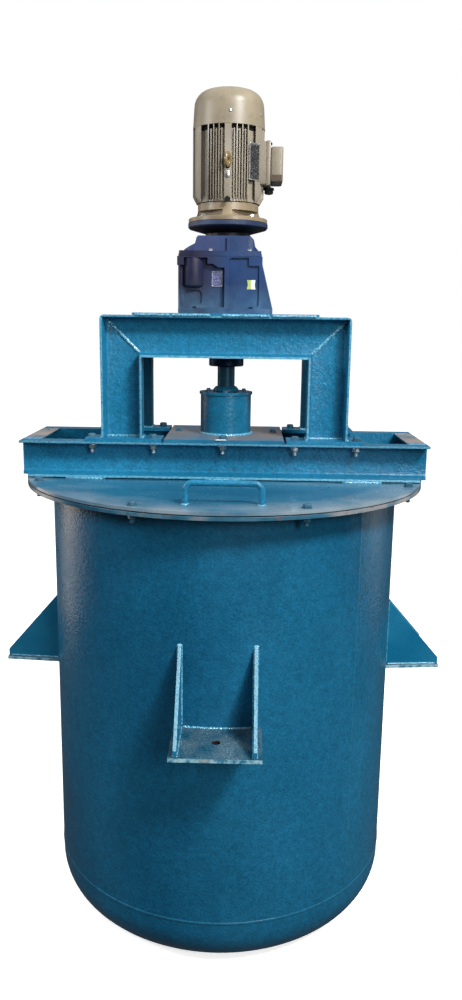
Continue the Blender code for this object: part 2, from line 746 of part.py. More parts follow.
def shaft():
    """The agitator shaft, the coupling and the gearbox's output shaft, which turn together."""
    agitator = cylinder("agitator_shaft", SHAFT_R, COVER_Z - SHAFT_BELOW_COVER, SHAFT_MEET - SHAFT_END_GAP / 2)
    finish(agitator, TEAL_PAINT)
    output = cylinder("gearbox_output_shaft", SHAFT_R, SHAFT_MEET + SHAFT_END_GAP / 2,
                      GEARBOX_Z + GEARBOX_BORE_DEPTH - SHAFT_END_GAP)
    finish(output, DARK_STEEL)
    low = COUPLING_Z
    high = COUPLING_Z + COUPLING_LENGTH
    inner = SHAFT_R + GAP
    chamfer = COUPLING_CHAMFER
    profile = [(inner, high), (COUPLING_R - chamfer, high), (COUPLING_R, high - chamfer),
               (COUPLING_R, low + chamfer), (COUPLING_R - chamfer, low), (inner, low)]
    finish(turned("coupling_hub", profile, STEPS_PART, ring=True), DARK_STEEL)


# Gearbox

def drive_plate():
    half_x = DRIVE_PLATE_LENGTH / 2
    half_y = DRIVE_PLATE_WIDTH / 2
    outline = [(-half_x, -half_y), (half_x, -half_y), (half_x, half_y), (-half_x, half_y)]
    plate = prism("drive_mounting_plate", [outline, circle(DRIVE_PLATE_HOLE_R, STEPS_PART)],
                  DRIVE_PLATE_Z, DRIVE_PLATE_Z + DRIVE_PLATE_THICKNESS)
    return finish(plate, TEAL_PAINT)


def gearbox_housing():
    """A casting: square foot, straight left side, sloped right side, recesses, bosses and ears."""
    left = -GEARBOX_LEFT
    right = GEARBOX_RIGHT
    foot = GEARBOX_BASE_RIGHT
    low = GEARBOX_BODY_Z
    high = GEARBOX_TOP
    half = GEARBOX_DEPTH / 2
    outline = [(left, GEARBOX_Z + GAP), (foot, GEARBOX_Z + GAP), (foot, low),
               (right, high - EAR_RIGHT_HEIGHT / 2), (right, high), (left, high)]
    body = prism("gearbox_housing", [outline], -half, half, UPRIGHT)
    half_base = GEARBOX_BASE_DEPTH / 2
    square = [(left, -half_base), (foot, -half_base), (foot, half_base), (left, half_base)]
    join(body, prism("gearbox_foot", [rounded(square, GEARBOX_CORNER_R)], GEARBOX_Z, low))
    for name, sign in (("front", -1.0), ("rear", 1.0)):
        gearbox_side(body, name, sign)
    bore = cylinder("gearbox_bore", BORE_R, GEARBOX_Z - TRIM_OVERRUN, GEARBOX_Z + GEARBOX_BORE_DEPTH)
    cut(body, bore)
    return finish(weld(body), NAVY_PAINT)


def gearbox_side(body, name, sign):
    """Recess with a boss on the left, flat panel on the right, ears at both upper corners."""
    half = GEARBOX_DEPTH / 2
    left = -GEARBOX_LEFT
    floor = GEARBOX_BODY_Z + POCKET_MARGIN / 2
    ceiling = GEARBOX_TOP - POCKET_MARGIN / 2
    wall = -BOSS_FROM_AXIS - BOSS_R
    step_low = ceiling - STEP_DROP
    step_high = step_low + STEP_DEPTH
    left_recess = [(wall, floor), (RIB_LEFT, floor), (RIB_LEFT, step_low), (-STEP_START, step_low),
                   ((-STEP_START - STEP_END) / 2, step_high), (-STEP_END, step_high), (-STEP_END, ceiling),
                   (wall, ceiling)]
    panel = rounded([(RIB_RIGHT, floor), (GEARBOX_RIGHT - POCKET_MARGIN, floor),
                     (GEARBOX_RIGHT - POCKET_MARGIN, ceiling), (RIB_RIGHT, ceiling)], POCKET_CORNER_R)
    pocket_low = floor + POCKET_MARGIN
    pocket_high = pocket_low + LOWER_POCKET_HEIGHT
    lower = rounded([(-BOSS_FROM_AXIS - LOWER_POCKET_HALF, pocket_low),
                     (-BOSS_FROM_AXIS + LOWER_POCKET_HALF, pocket_low),
                     (-BOSS_FROM_AXIS + LOWER_POCKET_HALF, pocket_high),
                     (-BOSS_FROM_AXIS - LOWER_POCKET_HALF, pocket_high)], POCKET_CORNER_R)
    hollows = (("recess", left_recess, RECESS_DEPTH), ("panel", panel, PANEL_DEPTH),
               ("lower_pocket", lower, RECESS_DEPTH + LOWER_POCKET_DEPTH))
    for kind, outline, depth in hollows:
        near, far = sorted((-sign * (half - depth), -sign * (half + TRIM_OVERRUN)))
        cut(body, prism("%s_%s" % (kind, name), [outline], near, far, UPRIGHT))
    boss_low = ceiling - BOSS_LENGTH
    boss_high = GEARBOX_TOP - GAP
    profile = [(0.0, boss_high), (BOSS_R, boss_high)]
    profile += arc(BOSS_R - BOSS_EDGE_R, boss_low + BOSS_EDGE_R, BOSS_EDGE_R, 0.0, -math.pi / 2, 3)
    boss = turned("boss_" + name, profile + [(0.0, boss_low)], STEPS_PART)
    boss.location = (-BOSS_FROM_AXIS, sign * (half - BOSS_R), 0.0)
    join(body, boss)
    near, far = sorted((sign * half, sign * (half - EAR_DEPTH)))
    join(body, box("ear_left_" + name, (left - EAR_LEFT_REACH, near, GEARBOX_TOP - EAR_LEFT_HEIGHT),
                   (left + EAR_LEFT_WIDTH, far, GEARBOX_TOP)))
    join(body, box("ear_right_" + name, (GEARBOX_RIGHT - EAR_RIGHT_WIDTH, near, GEARBOX_TOP - EAR_RIGHT_HEIGHT),
                   (GEARBOX_RIGHT + EAR_RIGHT_REACH, far, GEARBOX_TOP)))


def gearbox_cover():
    """A flat cover in two layers, the upper one a little smaller."""
    low = GEARBOX_COVER_Z
    high = low + GEARBOX_COVER_THICKNESS
    half = GEARBOX_DEPTH / 2

    def layer(name, inset, bottom, top):
        left = -GEARBOX_LEFT + inset
        right = GEARBOX_RIGHT - inset
        depth = half - inset
        outline = [(left, -depth), (right, -depth), (right, depth), (left, depth)]
        return prism(name, [rounded(outline, COVER_CORNER_R)], bottom, top)

    plate = layer("gearbox_cover", 0.0, low, low + COVER_LIP)
    join(plate, layer("gearbox_cover_upper", COVER_STEP, low + COVER_LIP / 2, high))
    return finish(plate, NAVY_PAINT)


def gearbox_cap():
    """The input casing: its front outline and its plan, kept where both overlap."""
    low = CAP_Z
    high = CAP_Z + CAP_HEIGHT
    half = CAP_DEPTH / 2
    top_left = -CAP_LEFT + CAP_DRAFT
    top_right = CAP_RIGHT - CAP_DRAFT
    front = [(-CAP_SHOULDER, low), (CAP_RIGHT + CAP_FOOT, low), (CAP_RIGHT, low + CAP_FOOT),
             (top_right, high - CAP_SLOPE), (top_right - CAP_SLOPE, high), (top_left + CAP_SLOPE / 2, high),
             (top_left, high - CAP_SLOPE / 2), (-CAP_LEFT, low + CAP_SHOULDER_HEIGHT),
             (-CAP_SHOULDER, low + CAP_DRAFT)]
    cap = prism("gearbox_cap", [front], -half, half, UPRIGHT)
    right = CAP_RIGHT + CAP_FOOT
    plan = rounded([(-CAP_SHOULDER, -half), (right, -half), (right, half), (-CAP_SHOULDER, half)],
                   CAP_CORNER_R, 6)
    boolean(cap, prism("gearbox_cap_plan", [plan], low - TRIM_OVERRUN, high + TRIM_OVERRUN), "INTERSECT")
    for name, sign in (("front", -1.0), ("rear", 1.0)):
        near, far = sorted((sign * (half - TRIM_OVERRUN), sign * (half + CAP_RIB)))
        rib = box("gearbox_cap_rib_" + name, (0.0, near, low), (CAP_RIB, far, high - CAP_SLOPE / 2))
        join(cap, rib)
    return finish(cap, NAVY_PAINT)


def adapter():
    """Neck, cone and round flange that carry the motor."""
    low = ADAPTER_Z
    cone = low + NECK_HEIGHT
    rim = cone + ADAPTER_CONE
    profile = [(0.0, ADAPTER_TOP), (ADAPTER_R - ADAPTER_EDGE / 2, ADAPTER_TOP),
               (ADAPTER_R, ADAPTER_TOP - ADAPTER_EDGE / 2), (ADAPTER_R, rim + ADAPTER_EDGE),
               (ADAPTER_R - ADAPTER_EDGE, rim), (NECK_R, cone), (NECK_R, low), (0.0, low)]
    return finish(turned("motor_adapter_flange", profile, STEPS_PART), NAVY_PAINT)


# Motor

def end_shield():
    """A turned casting with four windows through which the flange bolts are reached."""
    low = SHIELD_Z
    flange_top = low + MOTOR_FLANGE_THICKNESS
    top = flange_top + SHIELD_HEIGHT
    ring = flange_top + WINDOW_HEIGHT
    edge = SHIELD_EDGE
    profile = [(0.0, top), (SHIELD_R - edge, top), (SHIELD_R, top - edge), (SHIELD_R, ring),
               (SHIELD_R + edge, flange_top + SHIELD_FLARE_HEIGHT),
               (SHIELD_R + SHIELD_FLARE, flange_top + SHIELD_FLARE_HEIGHT / 3),
               (MOTOR_FLANGE_R - edge, flange_top), (MOTOR_FLANGE_R, flange_top - edge),
               (MOTOR_FLANGE_R, low), (0.0, low)]
    body = turned("motor_end_shield", profile, STEPS_PART)
    for k in range(4):
        window = box("shield_window_%d" % k, (SHIELD_CORE_R, -WINDOW_WIDTH / 2, flange_top + GAP),
                     (MOTOR_FLANGE_R + TRIM_OVERRUN, WINDOW_WIDTH / 2, ring))
        window.data.transform(turned_about_z(math.pi / 4 + k * math.pi / 2))
        cut(body, window)
    return finish(body, BEIGE_PAINT)


def forward(radius, lateral):
    """How far in front of the axis a circle lies at this distance to the side."""
    return math.sqrt(radius ** 2 - lateral ** 2)


def tip_radius(k):
    return MOTOR_R if k % 2 else MOTOR_R - FIN_LOWER


def grooves(fins, recess_end):
    """Start and end of each groove on one half of a side, for the fins with these numbers."""
    edges = []
    start = CENTRE_RIB / 2
    for k in fins:
        middle = FIN_FIRST + k * FIN_PITCH
        edges.append((start, middle - FIN_THICKNESS / 2))
        start = middle + FIN_THICKNESS / 2
    return edges + [(start, recess_end)]


def finned_side(direction, fins, recess_end):
    """Outline points of one side from corner pad to corner pad, turning anticlockwise."""
    half = grooves(fins, recess_end)
    whole = [(-b, -a) for a, b in reversed(half)] + half
    tips = [tip_radius(k) for k in fins]
    tips = [MOTOR_R] + tips[::-1] + [MOTOR_R] + tips + [MOTOR_R]
    turn = Matrix.Rotation(direction, 2)
    points = []
    for (a, b), tip_a, tip_b in zip(whole, tips, tips[1:]):
        points += [(forward(tip_a, a), a), (forward(GROOVE_FLOOR_R, a), a),
                   (forward(GROOVE_FLOOR_R, b), b), (forward(tip_b, b), b)]
    return [tuple(turn @ Vector(point)) for point in points]


def between(first, second, steps):
    """Points on the smooth corner between two finned sides."""
    start = math.atan2(first[1], first[0])
    end = math.atan2(second[1], second[0])
    if end < start:
        end += 2 * math.pi
    return arc(0.0, 0.0, MOTOR_R, start, end, steps)[1:-1]


def finned_outline(first, step):
    """The stator housing seen from above, with every step-th fin of each side."""
    ends = ((FINS_SIDE, RECESS_END_SIDE), (FINS_FRONT, RECESS_END_FRONT))
    sides = [finned_side(k * math.pi / 2, range(first, ends[k % 2][0], step), ends[k % 2][1])
             for k in range(4)]
    outline = []
    for k, side in enumerate(sides):
        outline += side
        outline += between(side[-1], sides[(k + 1) % 4][0], 4)
    return outline


def motor_frame():
    """The finned stator housing: parallel fins on four sides between smooth corner pads.

    Every other fin, starting with the one next to the middle rib, ends below the upper edge.
    """
    high = MOTOR_Z + MOTOR_LENGTH
    change = high - FIN_SHORTER
    body = prism("motor_frame", [finned_outline(0, 1)], MOTOR_Z, change)
    outside = MOTOR_R + TRIM_OVERRUN
    start = MOTOR_R - PAD_CHAMFER
    slope = PAD_CHAMFER_HEIGHT / PAD_CHAMFER
    profile = [(outside, MOTOR_Z + slope * (outside - start)), (outside, MOTOR_Z - TRIM_OVERRUN),
               (start - TRIM_OVERRUN / slope, MOTOR_Z - TRIM_OVERRUN)]
    cut(body, turned("motor_frame_chamfer", profile, STEPS_TANK, ring=True))
    join(body, prism("motor_frame_upper", [finned_outline(1, 2)], change, high))
    return finish(body, BEIGE_PAINT)


def fan_cover():
    """A pressed cup with a domed top, in which radial slots let the air in."""
    low = FAN_COVER_Z
    high = low + FAN_COVER_HEIGHT
    shoulder = FAN_COVER_SHOULDER_R
    profile = [(0.0, high + FAN_COVER_CROWN)]
    profile += arc(FAN_COVER_TOP_R - shoulder, high - shoulder, shoulder, math.pi / 2, 0.0, 7)
    profile += [(FAN_COVER_R, low), (0.0, low)]
    body = turned("motor_fan_cover", profile, STEPS_PART)
    half = AIR_SLOT_WIDTH / 2
    for k in range(AIR_SLOTS):
        slot = box("air_slot_%d" % k, (AIR_SLOT_START, -half, high - AIR_SLOT_DEPTH),
                   (AIR_SLOT_END, half, high + TRIM_OVERRUN))
        slot.data.transform(turned_about_z(2 * math.pi * (k + 0.5) / AIR_SLOTS))
        cut(body, slot)
    return finish(body, BEIGE_PAINT)


def terminal_box():
    """A cast base with a flange, standing on the motor's side, and its cover."""
    middle = MOTOR_Z + BOX_CENTRE
    face = BOX_BASE_FACE

    def block(name, inner, outer, depth, height, centre):
        return box(name, (inner, -depth / 2, centre - height / 2), (outer, depth / 2, centre + height / 2))

    base = block("terminal_box_base", BOX_ROOT, face, BOX_BASE_DEPTH, BOX_BASE_HEIGHT, middle)
    bevel(base, BOX_BASE_EDGE)
    flange = block("terminal_box_flange", face - BOX_FLANGE_THICKNESS, face,
                   BOX_BASE_DEPTH + 2 * BOX_FLANGE, BOX_BASE_HEIGHT + 2 * BOX_FLANGE, middle)
    join(base, bevel(flange, BOX_BASE_EDGE / 2))
    saddle = cylinder("terminal_box_saddle", MOTOR_R + GAP, MOTOR_Z, MOTOR_Z + MOTOR_LENGTH, steps=STEPS_TANK)
    cut(base, saddle)
    finish(base, BEIGE_PAINT)
    lid = block("terminal_box_cover", face + GAP, face + BOX_COVER_THICKNESS,
                BOX_COVER_DEPTH, BOX_COVER_HEIGHT, middle - BOX_COVER_DROP)
    bevel(lid, BOX_COVER_EDGE, 3)
    finish(lid, BEIGE_PAINT)


clear_scene()
PARTS = new_collection("glue_mixer")
CUTTERS = new_collection("cutters")

tank_bottom()
tank_shell()
tank_rim()
cover()
handle("cover_handle_front", 0.0)
handle("cover_handle_rear", math.pi)
lug("front", -math.pi / 2, LUG_REACH_END, GUSSET_HEIGHT_END)
lug("right", LUG_SIDE_TURN, LUG_REACH_SIDE, GUSSET_HEIGHT_SIDE)
lug("rear", math.pi / 2, LUG_REACH_END, GUSSET_HEIGHT_END)
lug("left", math.pi - LUG_SIDE_TURN, LUG_REACH_SIDE, GUSSET_HEIGHT_SIDE)
cover_frame()
portal("front", 0.0)
portal("rear", math.pi)
foot_plate("foot_plate_front_left", -1.0, -1.0)
foot_plate("foot_plate_front_right", 1.0, -1.0)
foot_plate("foot_plate_rear_left", -1.0, 1.0)
foot_plate("foot_plate_rear_right", 1.0, 1.0)
bearing()
shaft()
drive_plate()
gearbox_housing()
gearbox_cover()
gearbox_cap()
adapter()
end_shield()
motor_frame()
fan_cover()
terminal_box()
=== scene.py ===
"""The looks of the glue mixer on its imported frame: paint, rounded edges, bolts, weld beads, plates and light.

Metres, +Z up, the photographed front faces -Y. Places come from the frame's own nodes where they can.
"""
import math

import bmesh
import bpy
from mathutils import Matrix, Vector, noise


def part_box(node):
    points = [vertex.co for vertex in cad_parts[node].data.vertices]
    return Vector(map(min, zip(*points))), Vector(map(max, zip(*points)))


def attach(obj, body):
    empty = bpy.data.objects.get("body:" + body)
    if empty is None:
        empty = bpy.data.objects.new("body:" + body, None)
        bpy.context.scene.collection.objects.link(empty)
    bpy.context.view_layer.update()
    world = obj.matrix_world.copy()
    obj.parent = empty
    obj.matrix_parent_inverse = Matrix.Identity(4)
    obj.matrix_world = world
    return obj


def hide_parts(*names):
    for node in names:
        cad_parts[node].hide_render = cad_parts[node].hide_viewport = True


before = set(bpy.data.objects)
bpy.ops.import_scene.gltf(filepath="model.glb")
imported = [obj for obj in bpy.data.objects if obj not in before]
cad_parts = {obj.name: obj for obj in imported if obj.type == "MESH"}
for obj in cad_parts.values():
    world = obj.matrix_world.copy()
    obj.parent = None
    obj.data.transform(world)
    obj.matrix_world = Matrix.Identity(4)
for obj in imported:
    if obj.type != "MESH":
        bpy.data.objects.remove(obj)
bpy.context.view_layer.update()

# Camera at the photograph's place and angle
CAMERA_PLACE = Vector((0.0605, -2.4732, 1.7298))
PITCH = 0.20718
ROLL = 0.013525
YAW = -0.016754
LENS = 30.36
SENSOR = 36.0

# Sizes that the frame's boxes don't give
TANK_R = 0.500
SEAM_ANGLES = (math.radians(-43.4), math.radians(136.6))
LUG_SIDE_TURN = math.radians(5.0)
LUG_ANGLES = {"front": -math.pi / 2, "right": LUG_SIDE_TURN,
              "rear": math.pi / 2, "left": math.pi - LUG_SIDE_TURN}
LUG_REACH = {"front": 0.155, "right": 0.150, "rear": 0.155, "left": 0.150}
LUG_HOLE_R = 0.573           # from the tank's axis
LUG_BORE = 0.011
GUSSET_X = 0.0955
GUSSET_THICKNESS = 0.009
WEB_FACE_Y = 0.1145          # the frame channels' backs
COVER_BOLT_R = 0.547
COVER_EDGE_R = 0.571
COVER_BOLT_ANGLES = [math.radians(22.5 + 45.0 * k) for k in range(8)]
FOOT_BOLT_X = (0.197, 0.368)
FOOT_BOLT_Y = 0.1433
MIDDLE_BOLT_X = -0.004       # the bolts in the bearing's base plate, on the same lines as the feet's
BASE_BOLT_X, BASE_BOLT_Y = 0.14, 0.024
CAP_BOLT_R = 0.060
ADAPTER_BOLT_R = 0.0935
FLANGE_THICKNESS = 0.0085    # of the frame's channels
BIG_BOLT = 0.012             # a bolt's size is about its washer's radius
HANDLE_X, HANDLE_Y = 0.093, 0.480
HANDLE_SHIFT = 0.009         # the front handle sits a little right of the middle
HANDLE_BAR_R = 0.0085
PORTAL_FACE_Y = 0.1055       # front face of the portals' webs
PORTAL_BACK_Y = 0.100
PORTAL_TIP_Y = 0.152
PORTAL_CHANNEL = 0.113
PAD_PLACES = ((-0.440, -0.330), (-0.050, 0.050), (0.330, 0.440))
DRIVE_PLATE_WELDS = ((-0.246, -0.150), (-0.146, -0.040), (-0.010, 0.120), (0.126, 0.246))
MOTOR_R = 0.0985
GROOVE_FLOOR_R = 0.088
RECESS_FLOOR_Y = 0.092       # the gearbox's recess and panel, from its middle
PANEL_FLOOR_Y = 0.102
DOWN = (0, 0, -1)
FORWARD = (0, -1, 0)         # towards the photographed front

ROOM_LIGHT = ((0.0, 0.09), (0.42, 0.06), (0.56, 0.10), (0.95, 0.85))   # straight below to straight above
FLOOR_GLOW = 0.60


def bounds_of(node):
    low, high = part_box(node)
    return Vector(low), Vector(high)


COVER_TOP = bounds_of("cover_plate")[1].z
RIM_LOW = bounds_of("tank_rim_flange")[0].z
HEAD_TOP = bounds_of("tank_skirt_front")[1].z
HEAD_WALL = bounds_of("tank_bottom_plate")[1].z
KNUCKLE_R = bounds_of("tank_bottom_knuckle")[1].z
HEAD_NODES = ["tank_bottom_plate", "tank_bottom_knuckle"] + ["tank_skirt_" + s for s in LUG_ANGLES]
FRAME_LOW, FRAME_HIGH = bounds_of("frame_channel_front")
PLATE_TOP = bounds_of("bearing_base_plate")[1].z
FOOT_TOP = bounds_of("foot_plate_front_left")[1].z
PORTAL_HIGH = bounds_of("portal_front_top")[1]
PORTAL_HALF = bounds_of("portal_front_leg_right")[1].x
BEARING_R = bounds_of("bearing_housing")[1].x
CAP_TOP = bounds_of("bearing_cap")[1].z
LUG_LOW, LUG_HIGH = bounds_of("lug_plate_front")
GEARBOX_FOOT = bounds_of("gearbox_housing")[0].z
GEAR_COVER_TOP = bounds_of("gearbox_cover")[1].z
SHIELD_FOOT = bounds_of("motor_end_shield")[0].z
MOTOR_FOOT = bounds_of("motor_frame")[0].z
MOTOR_TOP = bounds_of("motor_frame")[1].z
FAN_LOW, FAN_HIGH = bounds_of("motor_fan_cover")
BOX_LOW, BOX_HIGH = bounds_of("terminal_box_base")
LID_LOW, LID_HIGH = bounds_of("terminal_box_cover")


def srgb(red, green, blue):
    """A screen colour from 0 to 255 as linear values."""
    def linear(value):
        value /= 255.0
        return value / 12.92 if value <= 0.04045 else ((value + 0.055) / 1.055) ** 2.4
    return (linear(red), linear(green), linear(blue), 1.0)


def grey(value):
    return (value, value, value, 1.0)


def set_stops(ramp, stops):
    """Gives a colour ramp's node its stops of (place, colour)."""
    elements = ramp.color_ramp.elements
    while len(elements) < len(stops):
        elements.new(0.5)
    for element, (place, colour) in zip(elements, stops):
        element.position = place
        element.color = colour


# Materials

class Paint:
    """A Principled material with short calls for its procedural nodes, all in object space."""

    def __init__(self, name, colour, roughness, metallic=0.0, coat=0.0, specular=0.5):
        self.material = bpy.data.materials.new(name)
        self.material.use_nodes = True
        self.tree = self.material.node_tree
        self.shader = self.tree.nodes["Principled BSDF"]
        self.shader.inputs["Base Color"].default_value = colour
        self.shader.inputs["Roughness"].default_value = roughness
        self.shader.inputs["Metallic"].default_value = metallic
        self.shader.inputs["Coat Weight"].default_value = coat
        self.shader.inputs["Coat Roughness"].default_value = 0.12
        self.shader.inputs["Specular IOR Level"].default_value = specular
        self.place = self.tree.nodes.new("ShaderNodeTexCoord").outputs["Object"]

    def join(self, source, target):
        self.tree.links.new(source, target)

    def new(self, kind, operation=None):
        made = self.tree.nodes.new("ShaderNode" + kind)
        if operation is not None:
            made.operation = operation
        return made

    def noise(self, scale, detail=3.0, stretch=(1.0, 1.0, 1.0)):
        mapping = self.new("Mapping")
        mapping.inputs["Scale"].default_value = stretch
        self.join(self.place, mapping.inputs["Vector"])
        texture = self.new("TexNoise")
        texture.inputs["Scale"].default_value = scale
        texture.inputs["Detail"].default_value = detail
        self.join(mapping.outputs["Vector"], texture.inputs["Vector"])
        return texture.outputs["Fac"]

    def between(self, value, start, end):
        """0 to 1 as a value goes from start to end."""
        scale = self.new("MapRange")
        scale.inputs["From Min"].default_value = start
        scale.inputs["From Max"].default_value = end
        self.join(value, scale.inputs["Value"])
        return scale.outputs["Result"]

    def along(self, vector, axis):
        split = self.new("SeparateXYZ")
        self.join(vector, split.inputs["Vector"])
        return split.outputs[axis]

    def facing(self, axis):
        """-1 to 1: how far the surface faces along an axis."""
        return self.along(self.new("NewGeometry").outputs["Normal"], axis)

    def across(self, axis, start, end):
        """0 to 1 along one axis, between two places."""
        return self.between(self.along(self.place, axis), start, end)

    def from_middle(self, axis, start, end):
        """0 to 1 between two distances from the object's middle plane across an axis."""
        side = self.new("Math", "ABSOLUTE")
        self.join(self.along(self.place, axis), side.inputs[0])
        return self.between(side.outputs["Value"], start, end)

    def inward(self, start, end):
        """0 to 1 as the surface turns to face the object's middle plane across Y."""
        product = self.new("Math", "MULTIPLY")
        self.join(self.along(self.place, "Y"), product.inputs[0])
        self.join(self.facing("Y"), product.inputs[1])
        return self.between(product.outputs["Value"], start, end)

    def upward(self, start, end):
        """0 to 1 as the surface turns from upright to facing up."""
        return self.between(self.facing("Z"), start, end)

    def far_from_axis(self, start, end):
        """0 to 1 between two distances from the object's upright axis."""
        flat = self.new("VectorMath", "MULTIPLY")
        flat.inputs[1].default_value = (1.0, 1.0, 0.0)
        self.join(self.place, flat.inputs[0])
        length = self.new("VectorMath", "LENGTH")
        self.join(flat.outputs["Vector"], length.inputs[0])
        return self.between(length.outputs["Value"], start, end)

    def ramp(self, value, *stops):
        """A value as a colour. Each stop is (value, colour)."""
        made = self.new("ValToRGB")
        set_stops(made, stops)
        self.join(value, made.inputs["Fac"])
        return made.outputs["Color"]

    def greys(self, value, *stops):
        """A value as a grey. Each stop is (value, tone)."""
        return self.ramp(value, *[(place, grey(tone)) for place, tone in stops])

    def blend(self, factor, first, second, way="MIX"):
        made = self.new("MixRGB")
        made.blend_type = way
        for value, socket in ((factor, "Fac"), (first, "Color1"), (second, "Color2")):
            if isinstance(value, (float, tuple)):
                made.inputs[socket].default_value = value
            else:
                self.join(value, made.inputs[socket])
        return made.outputs["Color"]

    def times(self, first, second, share=1.0):
        return self.blend(share, first, second, "MULTIPLY")

    def bump(self, *layers):
        """Each layer is (height output, strength, distance in metres)."""
        normal = None
        for height, strength, distance in layers:
            made = self.new("Bump")
            made.inputs["Strength"].default_value = strength
            made.inputs["Distance"].default_value = distance
            self.join(height, made.inputs["Height"])
            if normal is not None:
                self.join(normal, made.inputs["Normal"])
            normal = made.outputs["Normal"]
        self.join(normal, self.shader.inputs["Normal"])

    def set(self, socket, source):
        self.join(source, self.shader.inputs[socket])


def enamel(name, deep, bright, peel=0.5, roughness=0.30, specular=0.22, toe=None, thin_inside=False):
    """Glossy enamel on plate, with clouds of colour, orange peel and dull patches.

    toe is where a flange ends, as a distance from the middle plane: the enamel turns pale there, a painted
    highlight on the flange's edge.
    The last argument darkens what looks at the middle plane: painted shade, standing in for the deep shade
    there.
    """
    paint = Paint(name, deep, roughness, specular=specular)
    clouds = paint.noise(2.2, 5.0, (1.0, 1.0, 0.55))
    colour = paint.ramp(clouds, (0.32, deep), (0.70, bright))
    mottle = paint.greys(paint.noise(55.0, 4.0), (0.30, 0.83), (0.72, 1.12))
    colour = paint.times(colour, mottle, 0.9)
    grain = paint.greys(paint.noise(230.0, 2.0), (0.34, 0.78), (0.66, 1.20))
    colour = paint.times(colour, grain, min(1.0, peel * 0.95))
    if toe is not None:
        # Painted highlight: pale specks along the flange's edge.
        rim = paint.greys(paint.from_middle("Y", toe - 0.0020, toe - 0.0008), (0.0, 0.0), (1.0, 0.75))
        sparkle = paint.greys(paint.noise(150.0, 4.0), (0.36, 0.25), (0.58, 1.0))
        colour = paint.blend(paint.times(rim, sparkle), colour, srgb(96, 152, 174))
    # Painted shade on the faces that look at the middle plane.
    if thin_inside:
        colour = paint.times(colour, paint.greys(paint.inward(-0.02, -0.08), (0.0, 1.0), (1.0, 0.30)))
    paint.set("Base Color", colour)
    dull = paint.greys(paint.noise(7.0, 4.0), (0.35, roughness * 0.8), (0.75, roughness * 1.5))
    paint.set("Roughness", dull)
    paint.bump((paint.noise(11.0, 2.0), 0.10, 0.004), (paint.noise(110.0, 2.0), peel, 0.0011),
               (paint.noise(300.0, 2.0), peel * 0.8, 0.0005))
    return paint.material


def frame_enamel(name, **edges):
    """The enamel of the channels and plates on the cover."""
    deep, bright = srgb(14, 90, 123), srgb(30, 112, 148)
    return enamel(name, deep, bright, peel=1.15, roughness=0.25, specular=0.32, **edges)


def glossy_cover():
    """The cover's smoother enamel, with pale streaks as a painted sheen, and grey patches near its edge that
    are dust and painted sheen.
    """
    paint = Paint("cover_enamel", srgb(30, 88, 124), 0.22, specular=0.5)
    # Painted sheen in the pale streaks; dust and painted sheen in the grey patches towards the edge.
    colour = paint.ramp(paint.noise(4.0, 4.0, (1.0, 2.0, 1.0)), (0.30, srgb(16, 76, 106)),
                        (0.55, srgb(34, 90, 118)), (0.80, srgb(88, 122, 140)))
    edge = paint.greys(paint.far_from_axis(0.40, COVER_EDGE_R), (0.35, 0.0), (1.0, 0.85))
    patches = paint.greys(paint.noise(5.0, 5.0), (0.38, 0.15), (0.60, 1.0))
    paint.set("Base Color", paint.blend(paint.times(edge, patches), colour, srgb(126, 140, 148)))
    paint.set("Roughness", paint.greys(paint.noise(9.0, 5.0), (0.3, 0.14), (0.8, 0.42)))
    paint.bump((paint.noise(14.0, 2.0), 0.15, 0.003), (paint.noise(160.0, 2.0), 0.12, 0.0004))
    return paint.material


def lit_edges(name, deep, bright, edge, slope):
    """Enamel with a painted highlight: pale on a plate's cut edge where that looks upward."""
    paint = Paint(name, deep, 0.28, specular=0.35)
    colour = paint.ramp(paint.noise(6.0, 4.0), (0.32, deep), (0.70, bright))
    speckle = paint.greys(paint.noise(230.0, 4.0), (0.38, 0.40), (0.56, 1.0))
    # Painted highlight: the pale colour on edges that look upward, where light falls.
    thick = paint.times(paint.greys(paint.upward(*slope), (0.0, 0.0), (1.0, 1.0)), speckle)
    paint.set("Base Color", paint.blend(thick, colour, edge))
    paint.bump((paint.noise(120.0, 3.0), 0.9, 0.0011), (paint.noise(300.0, 2.0), 0.7, 0.0005))
    return paint.material


def filmed_plate(name):
    """A lug's plate: grey film and bright specks on top, and on its edges pale paint with some rust, the
    paleness a painted highlight.
    """
    paint = Paint(name, srgb(60, 104, 128), 0.30, specular=0.4)
    film = paint.ramp(paint.noise(18.0, 4.0), (0.36, srgb(18, 70, 92)), (0.60, srgb(68, 94, 108)))
    film = paint.times(film, paint.greys(paint.noise(230.0, 3.0), (0.54, 0.80), (0.68, 2.2)))
    # Painted highlight: the pale tone of the edges; rust spots are mixed in below.
    edge = paint.ramp(paint.noise(70.0, 4.0), (0.36, srgb(34, 100, 130)), (0.58, srgb(132, 172, 184)))
    rust = paint.greys(paint.noise(24.0, 4.0), (0.58, 0.0), (0.68, 0.7))
    edge = paint.blend(rust, edge, srgb(122, 104, 92))
    top = paint.greys(paint.upward(0.60, 0.90), (0.0, 0.0), (1.0, 1.0))
    paint.set("Base Color", paint.blend(top, edge, film))
    paint.bump((paint.noise(150.0, 3.0), 0.9, 0.0010), (paint.noise(320.0, 2.0), 0.6, 0.0005))
    return paint.material


def dusty_plate(name, painted, film, dust):
    """The thinly painted plates on top of the frame, where brown dust and grey film lie on what faces up."""
    paint = Paint(name, film, 0.38, specular=0.3)
    lying = paint.ramp(paint.noise(9.0, 5.0), (0.34, painted), (0.48, film), (0.66, dust))
    upright = paint.ramp(paint.noise(14.0, 4.0), (0.35, srgb(14, 84, 115)), (0.70, srgb(34, 104, 134)))
    top = paint.greys(paint.upward(0.50, 0.80), (0.0, 0.0), (1.0, 1.0))
    paint.set("Base Color", paint.blend(top, upright, lying))
    paint.bump((paint.noise(150.0, 3.0), 0.4, 0.0005))
    return paint.material


